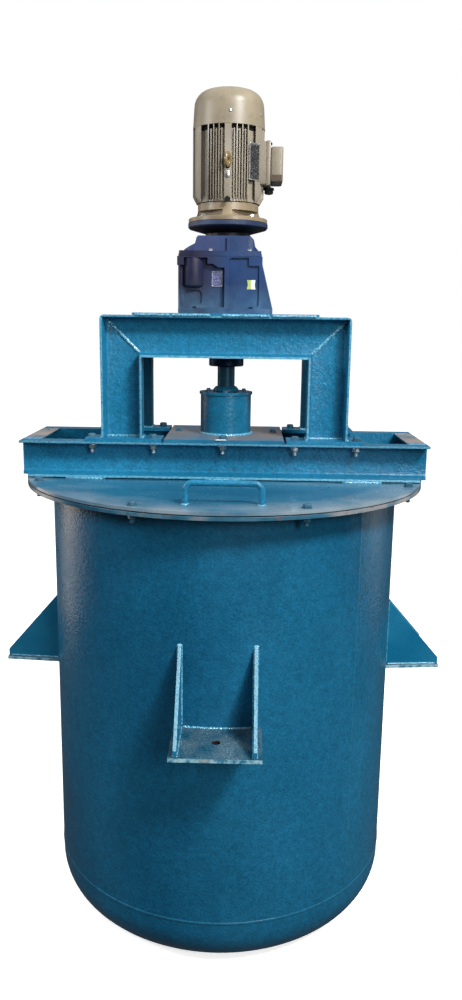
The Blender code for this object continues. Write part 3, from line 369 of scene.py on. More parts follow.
def worn_rim():
    """The rim flange's enamel, rubbed to grey in long patches with a few rust spots."""
    paint = Paint("rim_enamel", srgb(14, 84, 116), 0.30, specular=0.4)
    colour = paint.ramp(paint.noise(6.0, 5.0), (0.42, srgb(16, 68, 94)),
                        (0.52, srgb(48, 90, 110)), (0.62, srgb(118, 122, 126)))
    rust = paint.greys(paint.noise(31.0, 4.0), (0.60, 0.0), (0.68, 0.8))
    paint.set("Base Color", paint.blend(rust, colour, srgb(104, 72, 54)))
    paint.bump((paint.noise(90.0, 3.0), 0.8, 0.0012), (paint.noise(300.0, 2.0), 0.6, 0.0005))
    return paint.material


def casting(name, left, right, start, end, foot, foot_top, shaded_below=None):
    """Paint on a casting: painted light and shade from one tone to another across the part, another tone in
    patches towards its foot, and a grainy skin.
    """
    paint = Paint(name, left, 0.50, specular=0.30)
    # Painted light and shade: the tone changes from left to right across the part.
    tones = paint.ramp(paint.across("X", start, end), (0.25, left), (0.62, right))
    rise = paint.greys(paint.across("Z", foot_top - 0.075, foot_top - 0.012), (0.15, 0.62), (0.95, 0.0))
    patches = paint.greys(paint.noise(26.0, 4.0), (0.35, 0.35), (0.65, 1.0))
    tones = paint.blend(paint.times(rise, patches), tones, foot)
    tones = paint.times(tones, paint.greys(paint.noise(16.0, 5.0), (0.35, 0.80), (0.75, 1.22)), 0.9)
    # Painted shade: nearly black below the given height.
    if shaded_below is not None:
        dark = paint.greys(paint.across("Z", shaded_below - 0.006, shaded_below), (0.0, 0.06), (1.0, 1.0))
        tones = paint.times(tones, dark)
    paint.set("Base Color", tones)
    paint.set("Roughness", paint.greys(paint.noise(22.0, 3.0), (0.3, 0.35), (0.8, 0.70)))
    paint.bump((paint.noise(38.0, 3.0), 0.25, 0.0015), (paint.noise(300.0, 3.0), 0.7, 0.0005))
    return paint.material


def machine_paint(name, deep, bright, roughness=0.40, coat=0.08):
    """Satin beige paint on the motor, a little dirty in patches."""
    paint = Paint(name, deep, roughness, coat=coat)
    colour = paint.ramp(paint.noise(12.0, 5.0, (1.0, 1.0, 0.5)), (0.30, deep), (0.70, bright))
    specks = paint.greys(paint.noise(60.0, 3.0), (0.28, 0.84), (0.45, 1.0))
    paint.set("Base Color", paint.times(colour, specks, 0.7))
    paint.bump((paint.noise(45.0, 2.0), 0.10, 0.0010))
    return paint.material


def metal(name, colour, roughness, wear):
    """Bare or plated metal with scratches and stains."""
    paint = Paint(name, colour, roughness, metallic=0.95)
    stains = paint.greys(paint.noise(90.0, 5.0), (0.30, 1.0 - wear), (0.70, 1.0))
    paint.set("Base Color", paint.times(colour, stains))
    scratches = paint.greys(paint.noise(210.0, 3.0), (0.3, roughness * 0.7), (0.8, roughness * 1.5))
    paint.set("Roughness", scratches)
    paint.bump((paint.noise(500.0, 2.0), 0.2, 0.0002))
    return paint.material


def plain(name, colour, roughness):
    """Rubber, plastic or paper: one tone with a fine grain."""
    paint = Paint(name, colour, roughness, specular=0.3)
    tones = paint.greys(paint.noise(70.0, 3.0), (0.30, 0.80), (0.70, 1.10))
    paint.set("Base Color", paint.times(colour, tones, 0.8))
    paint.bump((paint.noise(300.0, 3.0), 0.25, 0.0002))
    return paint.material


def spattered(name, deep, bright):
    """Thick glossy paint on a rough weld, lighter in fine specks: painted glints."""
    paint = Paint(name, deep, 0.18, specular=0.9)
    # Painted glints: pale specks over the weld's paint.
    paint.set("Base Color", paint.ramp(paint.noise(260.0, 3.0), (0.38, deep), (0.60, bright)))
    paint.bump((paint.noise(200.0, 3.0), 1.0, 0.0012))
    return paint.material


def mottled(name, field, stain, roughness, stretch, scale, where):
    """A bare plate's field with worn, blotchy patches."""
    paint = Paint(name, field, roughness, specular=0.4)
    stained = paint.ramp(paint.noise(scale, 3.0, stretch), (where, field), (where + 0.10, stain))
    paint.set("Base Color", stained)
    paint.bump((paint.noise(400.0, 2.0), 0.2, 0.0002))
    return paint.material


def two_tone(name, left, right, start, end):
    """Paper in one tint on the left and another on the right, creased a little."""
    paint = Paint(name, left, 0.55, specular=0.3)
    tints = paint.ramp(paint.across("X", start, end), (0.0, left), (1.0, right))
    smudge = paint.greys(paint.noise(240.0, 3.0), (0.35, 0.80), (0.60, 1.0))
    paint.set("Base Color", paint.times(tints, smudge, 0.9))
    paint.bump((paint.noise(150.0, 2.0), 0.4, 0.0004))
    return paint.material


# One teal enamel in darker and lighter copies as painted shade and light: darker on the tank, its seams, the
# bearing housing and the shaft than on the frame.
TANK_ENAMEL = enamel("tank_enamel", srgb(8, 70, 100), srgb(26, 97, 131), peel=1.0, roughness=0.27,
                     specular=0.26)
SEAM_ENAMEL = enamel("seam_enamel", srgb(12, 76, 104), srgb(28, 100, 130), peel=0.7, specular=0.4)
FRAME_ENAMEL = frame_enamel("frame_enamel")
CHANNEL_ENAMEL = frame_enamel("channel_enamel", toe=-FRAME_LOW.y)
PORTAL_ENAMEL = frame_enamel("portal_enamel", toe=PORTAL_TIP_Y, thin_inside=True)
HOUSING_ENAMEL = enamel("housing_enamel", srgb(5, 78, 108), srgb(22, 98, 130), peel=0.9, specular=0.35)
GUSSET_ENAMEL = lit_edges("gusset_enamel", srgb(8, 90, 125), srgb(34, 112, 144), srgb(108, 154, 172),
                          (0.30, 0.50))
LUG_PLATE_ENAMEL = filmed_plate("lug_plate_enamel")
SHAFT_ENAMEL = enamel("shaft_enamel", srgb(4, 50, 68), srgb(14, 66, 86), peel=0.5, specular=0.3)
COVER_ENAMEL = glossy_cover()
PLATE_ENAMEL = dusty_plate("plate_enamel", srgb(56, 98, 124), srgb(92, 102, 114), srgb(110, 98, 94))
END_ENAMEL = dusty_plate("end_plate_enamel", srgb(62, 96, 116), srgb(112, 114, 118), srgb(140, 128, 120))
RIM_ENAMEL = worn_rim()
WELD_PAINT = spattered("weld_enamel", srgb(10, 84, 118), srgb(98, 168, 194))
# The casting paints go from one tone to another across X: painted light and shade.
NAVY = casting("navy_casting", srgb(28, 30, 54), srgb(12, 48, 92), -0.13, 0.10, srgb(60, 98, 126), 1.850)
NAVY_UPPER = casting("navy_cap", srgb(48, 61, 102), srgb(20, 48, 88), -0.10, 0.10, srgb(34, 44, 72), 1.945)
NAVY_FLANGE = casting("navy_flange", srgb(46, 58, 86), srgb(28, 44, 72), -0.10, 0.10, srgb(30, 40, 60), 1.93,
                      shaded_below=1.990)
BEIGE = machine_paint("motor_paint", srgb(122, 115, 102), srgb(152, 144, 129))
FAN_BEIGE = machine_paint("fan_cover_paint", srgb(116, 107, 91), srgb(142, 132, 111), coat=0.0)
BOX_BEIGE = machine_paint("terminal_box_paint", srgb(112, 104, 90), srgb(131, 123, 108))
EYE_GOLD = machine_paint("eye_paint", srgb(76, 60, 34), srgb(120, 100, 64), 0.30)
SHIELD_BEIGE = machine_paint("shield_paint", srgb(113, 100, 78), srgb(138, 123, 99))
STEEL = metal("dark_steel", srgb(26, 48, 70), 0.42, 0.45)
ZINC = metal("zinc_plating", srgb(222, 224, 222), 0.28, 0.25)
NUT_ZINC = metal("nut_zinc", srgb(196, 208, 212), 0.32, 0.35)
PAINTED_BOLT = enamel("bolt_enamel", srgb(30, 72, 96), srgb(70, 108, 128), peel=0.3)
DARK_BOLT = metal("black_bolt", srgb(50, 56, 62), 0.45, 0.5)
RUBBER = plain("black_rubber", srgb(24, 25, 27), 0.75)
# Painted shade: near-black pieces standing in for the shade in holes and openings.
SHADE_BLACK = plain("painted_shade_black", srgb(16, 15, 14), 0.9)
# Painted shade: the dark band on the terminal box's cover.
SHADE_BAND = plain("painted_shade_band", srgb(74, 62, 50), 0.5)
ALUMINIUM = metal("bare_aluminium", srgb(206, 207, 208), 0.35, 0.15)
PLATE_FIELD = mottled("plate_field", srgb(34, 35, 37), srgb(116, 116, 116), 0.40,
                      (1.0, 1.0, 2.6), 190.0, 0.57)
TAG_FIELD = mottled("tag_field", srgb(52, 58, 96), srgb(98, 102, 136), 0.45,
                    (1.0, 1.0, 1.6), 160.0, 0.45)
TAG_RIM = metal("tag_rim", srgb(128, 134, 158), 0.45, 0.25)
STICKER = two_tone("sticker_paper", srgb(158, 178, 96), srgb(206, 222, 214), 0.0660, 0.0700)
WHITE_DRIP = plain("white_drip", srgb(206, 222, 226), 0.5)


# Frame nodes

# The start of a node's name, its material, and the width and segments of its rounded edges. A width of 0
# leaves them sharp. The first row that fits counts.
DRESSES = (
    ("tank_shell", TANK_ENAMEL, 0.0, 2),
    ("tank_rim_flange", RIM_ENAMEL, 0.0010, 2),
    ("cover_plate", COVER_ENAMEL, 0.0012, 2),
    ("cover_gasket", RUBBER, 0.0, 2),
    ("frame_channel", CHANNEL_ENAMEL, 0.0012, 2),
    ("portal_", PORTAL_ENAMEL, 0.0012, 2),
    ("cover_handle", FRAME_ENAMEL, 0.0, 2),
    ("lug_plate", LUG_PLATE_ENAMEL, 0.0012, 2),
    ("lug_gusset", GUSSET_ENAMEL, 0.0012, 2),
    ("bearing_base_plate", PLATE_ENAMEL, 0.0010, 2),
    ("frame_end", END_ENAMEL, 0.0010, 2),
    ("agitator_shaft", SHAFT_ENAMEL, 0.0, 2),
    ("bearing_", HOUSING_ENAMEL, 0.0010, 2),
    ("shaft_seal", HOUSING_ENAMEL, 0.0010, 2),
    ("gearbox_housing", NAVY, 0.0022, 3),
    ("gearbox_cover", NAVY, 0.0022, 3),
    ("gearbox_cap", NAVY_UPPER, 0.0030, 3),
    ("motor_adapter_flange", NAVY_FLANGE, 0.0015, 2),
    ("motor_end_shield", SHIELD_BEIGE, 0.0012, 2),
    ("motor_frame", BEIGE, 0.0, 2),
    ("motor_fan_cover", FAN_BEIGE, 0.0, 2),
    ("terminal_box", BOX_BEIGE, 0.0, 2),
    ("coupling_hub", STEEL, 0.0, 2),
    ("gearbox_output_shaft", STEEL, 0.0, 2),
    ("", FRAME_ENAMEL, 0.0012, 2))
CREASE_ANGLE = math.radians(32.0)


def dress(node, material, edge, segments):
    """Gives a frame node its paint, smooth round walls and rounded edges."""
    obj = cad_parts[node]
    mesh = obj.data
    mesh.materials.clear()
    mesh.materials.append(material)
    normals = mesh.attributes.get("custom_normal")
    if normals is not None:
        mesh.attributes.remove(normals)
    mesh.shade_smooth()
    weld = obj.modifiers.new("weld", "WELD")
    weld.merge_threshold = 0.00002
    flat = obj.modifiers.new("flat", "DECIMATE")
    flat.decimate_type = "DISSOLVE"
    flat.angle_limit = math.radians(0.6)
    if edge > 0.0:
        soft = obj.modifiers.new("edges", "BEVEL")
        soft.width = edge
        soft.segments = segments
        soft.limit_method = "ANGLE"
        soft.angle_limit = CREASE_ANGLE
        soft.harden_normals = True
        soft.miter_outer = "MITER_ARC"
    else:
        split = obj.modifiers.new("creases", "EDGE_SPLIT")
        split.split_angle = CREASE_ANGLE


def dress_all():
    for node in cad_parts:
        if node not in HEAD_NODES:
            fits = [row for row in DRESSES if node.startswith(row[0])]
            dress(node, *fits[0][1:])


# Shapes

def at(place, outward=(0.0, 0.0, 1.0), spin=0.0):
    """A matrix whose +Z points outward from a place."""
    turn = Vector(outward).to_track_quat("Z", "Y").to_matrix().to_4x4()
    return Matrix.Translation(place) @ turn @ Matrix.Rotation(spin, 4, "Z")


def piece(name, shape, material, crease=30.0, body="vessel"):
    """Makes an object of a bmesh, painted and riding on its body."""
    mesh = bpy.data.meshes.new(name)
    bmesh.ops.recalc_face_normals(shape, faces=shape.faces)
    shape.to_mesh(mesh)
    shape.free()
    mesh.materials.append(material)
    mesh.shade_smooth()
    mesh.set_sharp_from_angle(angle=math.radians(crease))
    obj = bpy.data.objects.new(name, mesh)
    bpy.context.scene.collection.objects.link(obj)
    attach(obj, body)
    return obj


def turn_angles(count):
    return [2 * math.pi * k / count for k in range(count)]


def polar(radius, angle, z=0.0):
    return Vector((radius * math.cos(angle), radius * math.sin(angle), z))


def circle(shape, place, radius, height, sides):
    """Adds points round a place's +Z."""
    return [shape.verts.new(place @ polar(radius, a, height)) for a in turn_angles(sides)]


def join_loops(shape, loops):
    """Adds the wall between each loop of points and the next."""
    for low, high in zip(loops, loops[1:]):
        for k in range(len(low)):
            after = (k + 1) % len(low)
            shape.faces.new((low[k], low[after], high[after], high[k]))


def turned(shape, place, sides, rings):
    """Adds a closed solid round a place's +Z. rings are (radius, height) from bottom to top."""
    loops = [circle(shape, place, radius, height, sides) for radius, height in rings]
    join_loops(shape, loops)
    shape.faces.new(loops[0])
    shape.faces.new(loops[-1])


def sleeve(shape, place, inner, outer, height, sides=32):
    """Adds a thin open tube standing on a place."""
    rings = ((inner, 0.0), (outer, 0.0), (outer, height), (inner, height))
    loops = [circle(shape, place, radius, level, sides) for radius, level in rings]
    join_loops(shape, loops + loops[:1])


def washer(shape, place, size):
    thick = 0.18 * size
    rings = [(1.04 * size, 0.0), (1.08 * size, 0.3 * thick), (1.06 * size, thick), (0.5 * size, thick)]
    turned(shape, place, 24, rings)
    return place @ Matrix.Translation((0.0, 0.0, thick))


def bolt(shape, place, size):
    """A hexagon head on a washer, with its chamfered rim and domed top."""
    place = washer(shape, place, size)
    reach = 0.90 * size
    high = 0.65 * size
    turned(shape, place, 6, [(0.95 * reach, 0.0), (reach, 0.05 * size), (reach, high - 0.12 * size),
                             (0.86 * reach, high)])
    turned(shape, place, 18, [(0.80 * reach, high - 0.04 * size), (0.76 * reach, high + 0.03 * size),
                              (0.2 * reach, high + 0.06 * size)])


def nut(shape, place, size, stub=0.55):
    """A nut on a washer with the threaded end of its bolt."""
    place = washer(shape, place, size)
    reach = 0.90 * size
    high = 0.80 * size
    turned(shape, place, 6, [(0.90 * reach, 0.0), (reach, 0.08 * size), (reach, high - 0.10 * size),
                             (0.88 * reach, high)])
    pitch = 0.14 * size
    rings = [(0.42 * size, 0.5 * high)]
    height = 0.5 * high
    while height < high + stub * size:
        rings += [(0.50 * size, height + 0.5 * pitch), (0.44 * size, height + pitch)]
        height += pitch
    turned(shape, place, 14, rings)


def screw(shape, place, size):
    """A small round-headed screw with a cross of two thin leaves on it."""
    turned(shape, place, 20, [(0.95 * size, 0.0), (0.95 * size, 0.2 * size), (0.80 * size, 0.48 * size),
                              (0.45 * size, 0.62 * size)])
    for k in range(2):
        bar = place @ Matrix.Rotation(k * math.pi / 2, 4, "Z") @ Matrix.Translation((0.0, 0.0, 0.60 * size))
        sides = [(sx * 0.34 * size, sy * 0.08 * size) for sx, sy in ((-1, -1), (1, -1), (1, 1), (-1, 1))]
        shape.faces.new([shape.verts.new(bar @ Vector((x, y, 0.03 * size))) for x, y in sides])


def spaced(points, step, closed):
    """The same route with points about a step apart."""
    route = [Vector(p) for p in points]
    if closed:
        route.append(route[0])
    result = []
    for a, b in zip(route, route[1:]):
        count = max(1, round((b - a).length / step))
        result += [a.lerp(b, k / count) for k in range(count)]
    return result if closed else result + [route[-1]]


def bead(shape, points, outward, width=0.007, rise=0.45, closed=False, ripple=0.0035):
    """A weld bead along points: a ridge of ripples. outward is a direction or a function of place."""
    route = spaced(points, ripple / 3.0, closed)
    count = len(route)
    loops = []
    travelled = 0.0
    for k, place in enumerate(route):
        before = route[k - 1] if closed or k else place
        after = route[(k + 1) % count] if closed or k + 1 < count else place
        travelled += (place - before).length
        along = (after - before).normalized()
        up = Vector(outward(place)) if callable(outward) else Vector(outward)
        up = (up - along * up.dot(along)).normalized()
        side = along.cross(up)
        scale = 0.5 + 0.5 * math.cos(2 * math.pi * travelled / ripple)
        rough = noise.noise(place * 160.0)
        half = 0.5 * width * (1.0 + 0.12 * scale + 0.16 * rough)
        high = rise * width * (0.78 + 0.22 * scale + 0.25 * noise.noise(place * 95.0))
        if not closed and k in (0, count - 1):
            half *= 0.45
            high *= 0.45
        loops.append([shape.verts.new(place + side * half * math.cos(a) + up * high * math.sin(a))
                      for a in turn_angles(8)])
    join_loops(shape, loops + loops[:1] if closed else loops)
    if not closed:
        shape.faces.new(loops[0])
        shape.faces.new(loops[-1])


def ring(radius, z, x=0.0, y=0.0, steps=120):
    return [(x + radius * math.cos(a), y + radius * math.sin(a), z) for a in turn_angles(steps)]


def radial(place):
    return (place.x, place.y, 0.0)


def rolled_sheet(shape, columns, rows, thickness, place_of):
    """A thin closed sheet. place_of(u, v, depth) gives a point, with u and v from 0 to 1."""
    def grid(depth):
        return [[shape.verts.new(place_of(i / columns, j / rows, depth)) for i in range(columns + 1)]
                for j in range(rows + 1)]
    under = grid(0.0)
    over = grid(thickness)
    for layer in (under, over):
        for j in range(rows):
            for i in range(columns):
                shape.faces.new((layer[j][i], layer[j][i + 1], layer[j + 1][i + 1], layer[j + 1][i]))
    rim = [(j, 0) for j in range(rows)] + [(rows, i) for i in range(columns)]
    rim += [(rows - j, columns) for j in range(rows)] + [(0, columns - i) for i in range(columns)]
    for (j, i), (jj, ii) in zip(rim, rim[1:] + rim[:1]):
        shape.faces.new((under[j][i], under[jj][ii], over[jj][ii], over[j][i]))


def bottom_head():
    """The bottom as the one smooth pressing that it looks like."""
    def quarter(radius, start, end):
        turns = [start + (end - start) * k / 16 for k in range(17)]
        return [(TANK_R - KNUCKLE_R + radius * math.cos(a), KNUCKLE_R + radius * math.sin(a)) for a in turns]

    shape = bmesh.new()
    rings = [(0.02, 0.0)] + quarter(KNUCKLE_R, -math.pi / 2, 0.0) + [(TANK_R, HEAD_TOP)]
    rings += [(TANK_R - HEAD_WALL, HEAD_TOP)] + quarter(KNUCKLE_R - HEAD_WALL, 0.0, -math.pi / 2)
    turned(shape, Matrix.Identity(4), 192, rings + [(0.02, HEAD_WALL)])
    head = piece("tank_bottom_head", shape, TANK_ENAMEL)
    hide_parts(*HEAD_NODES)


# Bolts

def cover_bolts():
    heads = bmesh.new()
    nuts = bmesh.new()
    for k, angle in enumerate(COVER_BOLT_ANGLES):
        bolt(heads, at(polar(COVER_BOLT_R, angle, COVER_TOP), spin=0.7 * k), BIG_BOLT)
        nut(nuts, at(polar(COVER_BOLT_R, angle, RIM_LOW), DOWN, 0.4 * k), BIG_BOLT, 0.8)
    piece("cover_bolt_heads", heads, PAINTED_BOLT)
    piece("cover_nuts", nuts, PAINTED_BOLT)


def frame_bolts():
    """The bolts through the frame's top flanges, and two small ones in the bearing's base plate."""
    heads = bmesh.new()
    nuts = bmesh.new()
    under = FRAME_HIGH.z - FLANGE_THICKNESS
    for k, (sx, sy) in enumerate(((-1, -1), (1, -1), (-1, 1), (1, 1))):
        for x in FOOT_BOLT_X:
            bolt(heads, at((sx * x, sy * FOOT_BOLT_Y, FOOT_TOP), spin=0.5 * k + x), BIG_BOLT)
            nut(nuts, at((sx * x, sy * FOOT_BOLT_Y, under), DOWN, 0.9 * k), BIG_BOLT, 0.9)
    for sy in (-1, 1):
        bolt(heads, at((MIDDLE_BOLT_X, sy * FOOT_BOLT_Y, PLATE_TOP), spin=0.3), BIG_BOLT)
        nut(nuts, at((MIDDLE_BOLT_X, sy * FOOT_BOLT_Y, under), DOWN, 0.2), BIG_BOLT, 0.9)
    piece("foot_bolt_heads", heads, PAINTED_BOLT)
    piece("foot_bolt_nuts", nuts, NUT_ZINC)
    dark = bmesh.new()
    for sx in (-1, 1):
        bolt(dark, at((sx * BASE_BOLT_X, BASE_BOLT_Y, PLATE_TOP), spin=0.4 * sx), 0.010)
    piece("base_plate_bolts", dark, PAINTED_BOLT)


def bearing_bolts():
    shape = bmesh.new()
    for k in range(6):
        angle = math.pi / 6 + k * math.pi / 3
        bolt(shape, at(polar(CAP_BOLT_R, angle, CAP_TOP), spin=angle), 0.0075)
    piece("bearing_cap_bolts", shape, PAINTED_BOLT)


def drive_bolts():
    """The bolts of the motor's flange, of the gearbox's cover and of its foot."""
    silver = bmesh.new()
    for k in range(4):
        angle = math.pi / 4 + k * math.pi / 2
        bolt(silver, at(polar(ADAPTER_BOLT_R, angle, SHIELD_FOOT + 0.0105), spin=angle), 0.0080)
    for x in (-0.043, 0.062):
        for sy in (-1, 1):
            bolt(silver, at((x, sy * 0.0975, GEAR_COVER_TOP)), 0.0062)
    piece("drive_flange_bolts", silver, ZINC)
    foot = bmesh.new()
    for x in (-0.086, 0.068):
        for sy in (-1, 1):
            bolt(foot, at((x, sy * 0.1165, GEARBOX_FOOT + 0.0135)), 0.0055)
    piece("gearbox_foot_bolts", foot, DARK_BOLT)


def motor_screws():
    silver = bmesh.new()
    for degrees in (-87.0, -26.0, 93.0, 154.0):
        angle = math.radians(degrees)
        screw(silver, at(polar(FAN_HIGH.x - 0.0026, angle, FAN_LOW.z + 0.032), polar(1.0, angle)), 0.0048)
    piece("fan_cover_screws", silver, ZINC)
    small = bmesh.new()
    inset = 0.008
    for sy in (-1, 1):
        for z in (BOX_LOW.z + inset, BOX_HIGH.z - inset):
            bolt(small, at((BOX_HIGH.x, sy * (BOX_HIGH.y - inset), z), (1, 0, 0)), 0.0042)
    piece("terminal_box_screws", small, DARK_BOLT)


def lug_holes():
    """Thin dark sleeves just inside the plates' bolt holes: painted shade in the holes."""
    shape = bmesh.new()
    skin = 0.0004
    for angle in LUG_ANGLES.values():
        place = at(polar(LUG_HOLE_R, angle, LUG_LOW.z + skin))
        sleeve(shape, place, LUG_BORE - skin, LUG_BORE, LUG_HIGH.z - LUG_LOW.z - 2 * skin)
    piece("lug_hole_shades", shape, SHADE_BLACK)


# Welds

def portal_welds():
    shape = bmesh.new()
    top = PORTAL_HIGH.z
    half = PORTAL_HALF
    inner = half - PORTAL_CHANNEL
    low = top - PORTAL_CHANNEL
    for sy in (-1, 1):
        for sx in (-1, 1):
            for y, out in ((PORTAL_FACE_Y, sy), (PORTAL_BACK_Y, -sy)):
                start = (sx * (half - 0.010), sy * y, top - 0.010)
                end = (sx * (inner + 0.010), sy * y, low + 0.010)
                bead(shape, [start, end], (0, out, 0), 0.0100, 0.42, ripple=0.007)
            inner_corner = [(sx * inner, sy * y, low) for y in (PORTAL_BACK_Y, PORTAL_TIP_Y)]
            bead(shape, inner_corner, (-sx, 0, -1), 0.008, 0.35)
            foot = [(sx * inner, sy * PORTAL_TIP_Y), (sx * inner, sy * PORTAL_BACK_Y),
                    (sx * half, sy * PORTAL_BACK_Y), (sx * half, sy * PORTAL_TIP_Y)]
            below = Vector((sx * (inner + half) / 2, sy * (PORTAL_BACK_Y + PORTAL_TIP_Y) / 2,
                            FOOT_TOP - 0.05))
            bead(shape, [(x, y, FOOT_TOP) for x, y in foot], lambda p, m=below: p - m, 0.009, 0.5)
            front = [(sx * x, sy * PORTAL_FACE_Y, FOOT_TOP) for x in (inner + 0.006, half - 0.006)]
            bead(shape, front, (0, sy, 1), 0.009, 0.5)
    for sy in (-1, 1):
        for ends in DRIVE_PLATE_WELDS:
            bead(shape, [(x, sy * PORTAL_TIP_Y, top + 0.001) for x in ends], (0, sy, -0.2), 0.008, 0.5)
    piece("portal_weld_beads", shape, WELD_PAINT, 60.0)


def frame_welds():
    shape = bmesh.new()
    edge_y = -FRAME_LOW.y
    half = FRAME_HIGH.x
    for sy in (-1, 1):
        for start, end in PAD_PLACES:
            pad = [(x, sy * edge_y, COVER_TOP + 0.001) for x in (start + 0.008, end - 0.008)]
            bead(shape, pad, (0, sy, 1), 0.007, 0.45)
        for sx in (-1, 1):
            upright = [(sx * half, sy * WEB_FACE_Y, z) for z in (FRAME_LOW.z + 0.012, FRAME_HIGH.z - 0.004)]
            bead(shape, upright, (sx, 0, 0), 0.007, 0.3)
            mitre = [(sx * (half - inset), sy * WEB_FACE_Y, FRAME_HIGH.z) for inset in (0.050, 0.003)]
            bead(shape, mitre, (0, 0, 1), 0.006, 0.2)
    bead(shape, ring(BEARING_R + 0.001, PLATE_TOP + 0.001), lambda p: (p.x, p.y, 0.08), 0.009, 0.5, True)
    for sy in (-1, 1):
        for sx in (-1, 1):
            x, y = sx * HANDLE_X - sy * HANDLE_SHIFT, sy * HANDLE_Y
            bead(shape, ring(HANDLE_BAR_R, COVER_TOP, x, y, 14),
                 lambda p, c=Vector((x, y, COVER_TOP - 0.006)): p - c, 0.005, 0.5, True)
    piece("frame_weld_beads", shape, WELD_PAINT, 60.0)


def tank_welds():
    shape = bmesh.new()
    bead(shape, ring(TANK_R, HEAD_TOP, steps=240), radial, 0.008, 0.18, True, 0.007)
    for angle in SEAM_ANGLES:
        seam = [polar(TANK_R, angle, z) for z in (HEAD_TOP + 0.006, RIM_LOW - 0.004)]
        bead(shape, seam, radial, 0.008, 0.18, ripple=0.008)
    bead(shape, ring(TANK_R + 0.001, RIM_LOW, steps=180), lambda p: (p.x, p.y, -0.5), 0.007, 0.4, True, 0.006)
    piece("tank_weld_seams", shape, SEAM_ENAMEL, 60.0)


def lug_welds():
    shape = bmesh.new()
    for side, angle in LUG_ANGLES.items():
        turn = Matrix.Rotation(angle + math.pi / 2, 3, "Z")
        low = LUG_HIGH.z
        high = bounds_of("lug_gusset_%s_a" % side)[1].z
        outer = TANK_R + LUG_REACH[side]

        def wall(x):
            return -math.sqrt(TANK_R ** 2 - x * x)

        def add(points, outward, width):
            bead(shape, [turn @ Vector(p) for p in points], turn @ Vector(outward), width)

        half = GUSSET_X - 0.008
        across = [-half + k * half / 6 for k in range(13)]
        add([(x, wall(x), low) for x in across], (0, -1, 1), 0.008)
        add([(x, wall(x), LUG_LOW.z) for x in across], (0, -1, -1), 0.008)
        for sx in (-1, 1):
            for face, out in ((GUSSET_X - GUSSET_THICKNESS / 2, -1), (GUSSET_X + GUSSET_THICKNESS / 2, 1)):
                x = sx * face
                add([(x, wall(x), low + 0.004), (x, wall(x), high - 0.003)], (sx * out, -1, 0), 0.007)
                add([(x, -outer + 0.008, low), (x, wall(x) - 0.004, low)], (sx * out, 0, 1), 0.006)
    piece("lug_weld_beads", shape, WELD_PAINT, 60.0)


# Small fittings

def rating_plate():
    """A bare curved plate on the motor's corner pad: bright rim, dark empty field, four rivets."""
    low = MOTOR_FOOT + 0.055
    high = low + 0.095
    first = math.radians(-55.0)
    last = math.radians(-31.5)

    def curved(radius, margin):
        turn = margin / MOTOR_R

        def place(u, v, depth):
            angle = (first + turn) + (last - first - 2 * turn) * u
            return polar(radius + depth, angle, low + margin + (high - low - 2 * margin) * v)
        return place

    seat = MOTOR_R + 0.0002
    thickness = 0.0010
    back = bmesh.new()
    rolled_sheet(back, 8, 2, thickness, curved(seat, 0.0))
    piece("rating_plate", back, ALUMINIUM)
    field = bmesh.new()
    rolled_sheet(field, 8, 2, 0.0003, curved(seat + thickness, 0.0035))
    piece("rating_plate_field", field, PLATE_FIELD)
    rivets = bmesh.new()
    corner = curved(seat + thickness, 0.0018)
    for u in (0.0, 1.0):
        for v in (0.0, 1.0):
            spot = corner(u, v, 0.0)
            screw(rivets, at(spot, (spot.x, spot.y, 0.0)), 0.0016)
    piece("rating_plate_rivets", rivets, ZINC)


def flat_plate(name, box, y, material, rim=0.0, pinch=0.0):
    """A bare flat plate on the gearbox's front, with its border raised by rim.

    box is (left, right, bottom, top), and pinch draws its sides in at half height.
    """
    x0, x1, z0, z1 = box
    shape = bmesh.new()

    def place(u, v, depth):
        bow = pinch * math.sin(math.pi * v)
        edge = min(u, 1.0 - u, v, 1.0 - v) < 0.06
        lift = depth + (rim if edge and depth > 0.0 else 0.0)
        return Vector((x0 + bow + (x1 - x0 - 2 * bow) * u, y - lift, z0 + (z1 - z0) * v))
    rolled_sheet(shape, 20, 20, 0.0008, place)
    return piece(name, shape, material)


def gearbox_plates():
    tag = (-0.0402, -0.0107, 1.8255, 1.8673)
    field = (-0.0380, -0.0129, 1.8277, 1.8651)
    sticker = (0.0560, 0.0800, 1.8195, 1.8440)
    flat_plate("gearbox_tag", tag, -RECESS_FLOOR_Y - 0.0002, TAG_RIM, rim=0.0005)
    flat_plate("gearbox_tag_field", field, -RECESS_FLOOR_Y - 0.0006, TAG_FIELD)
    flat_plate("gearbox_sticker", sticker, -PANEL_FLOOR_Y, STICKER, pinch=0.0022)
    rivets = bmesh.new()
    for x in (-0.0375, -0.0134):
        for z in (1.8283, 1.8645):
            screw(rivets, at((x, -RECESS_FLOOR_Y - 0.0014, z), FORWARD), 0.0012)
    piece("gearbox_tag_rivets", rivets, ZINC)


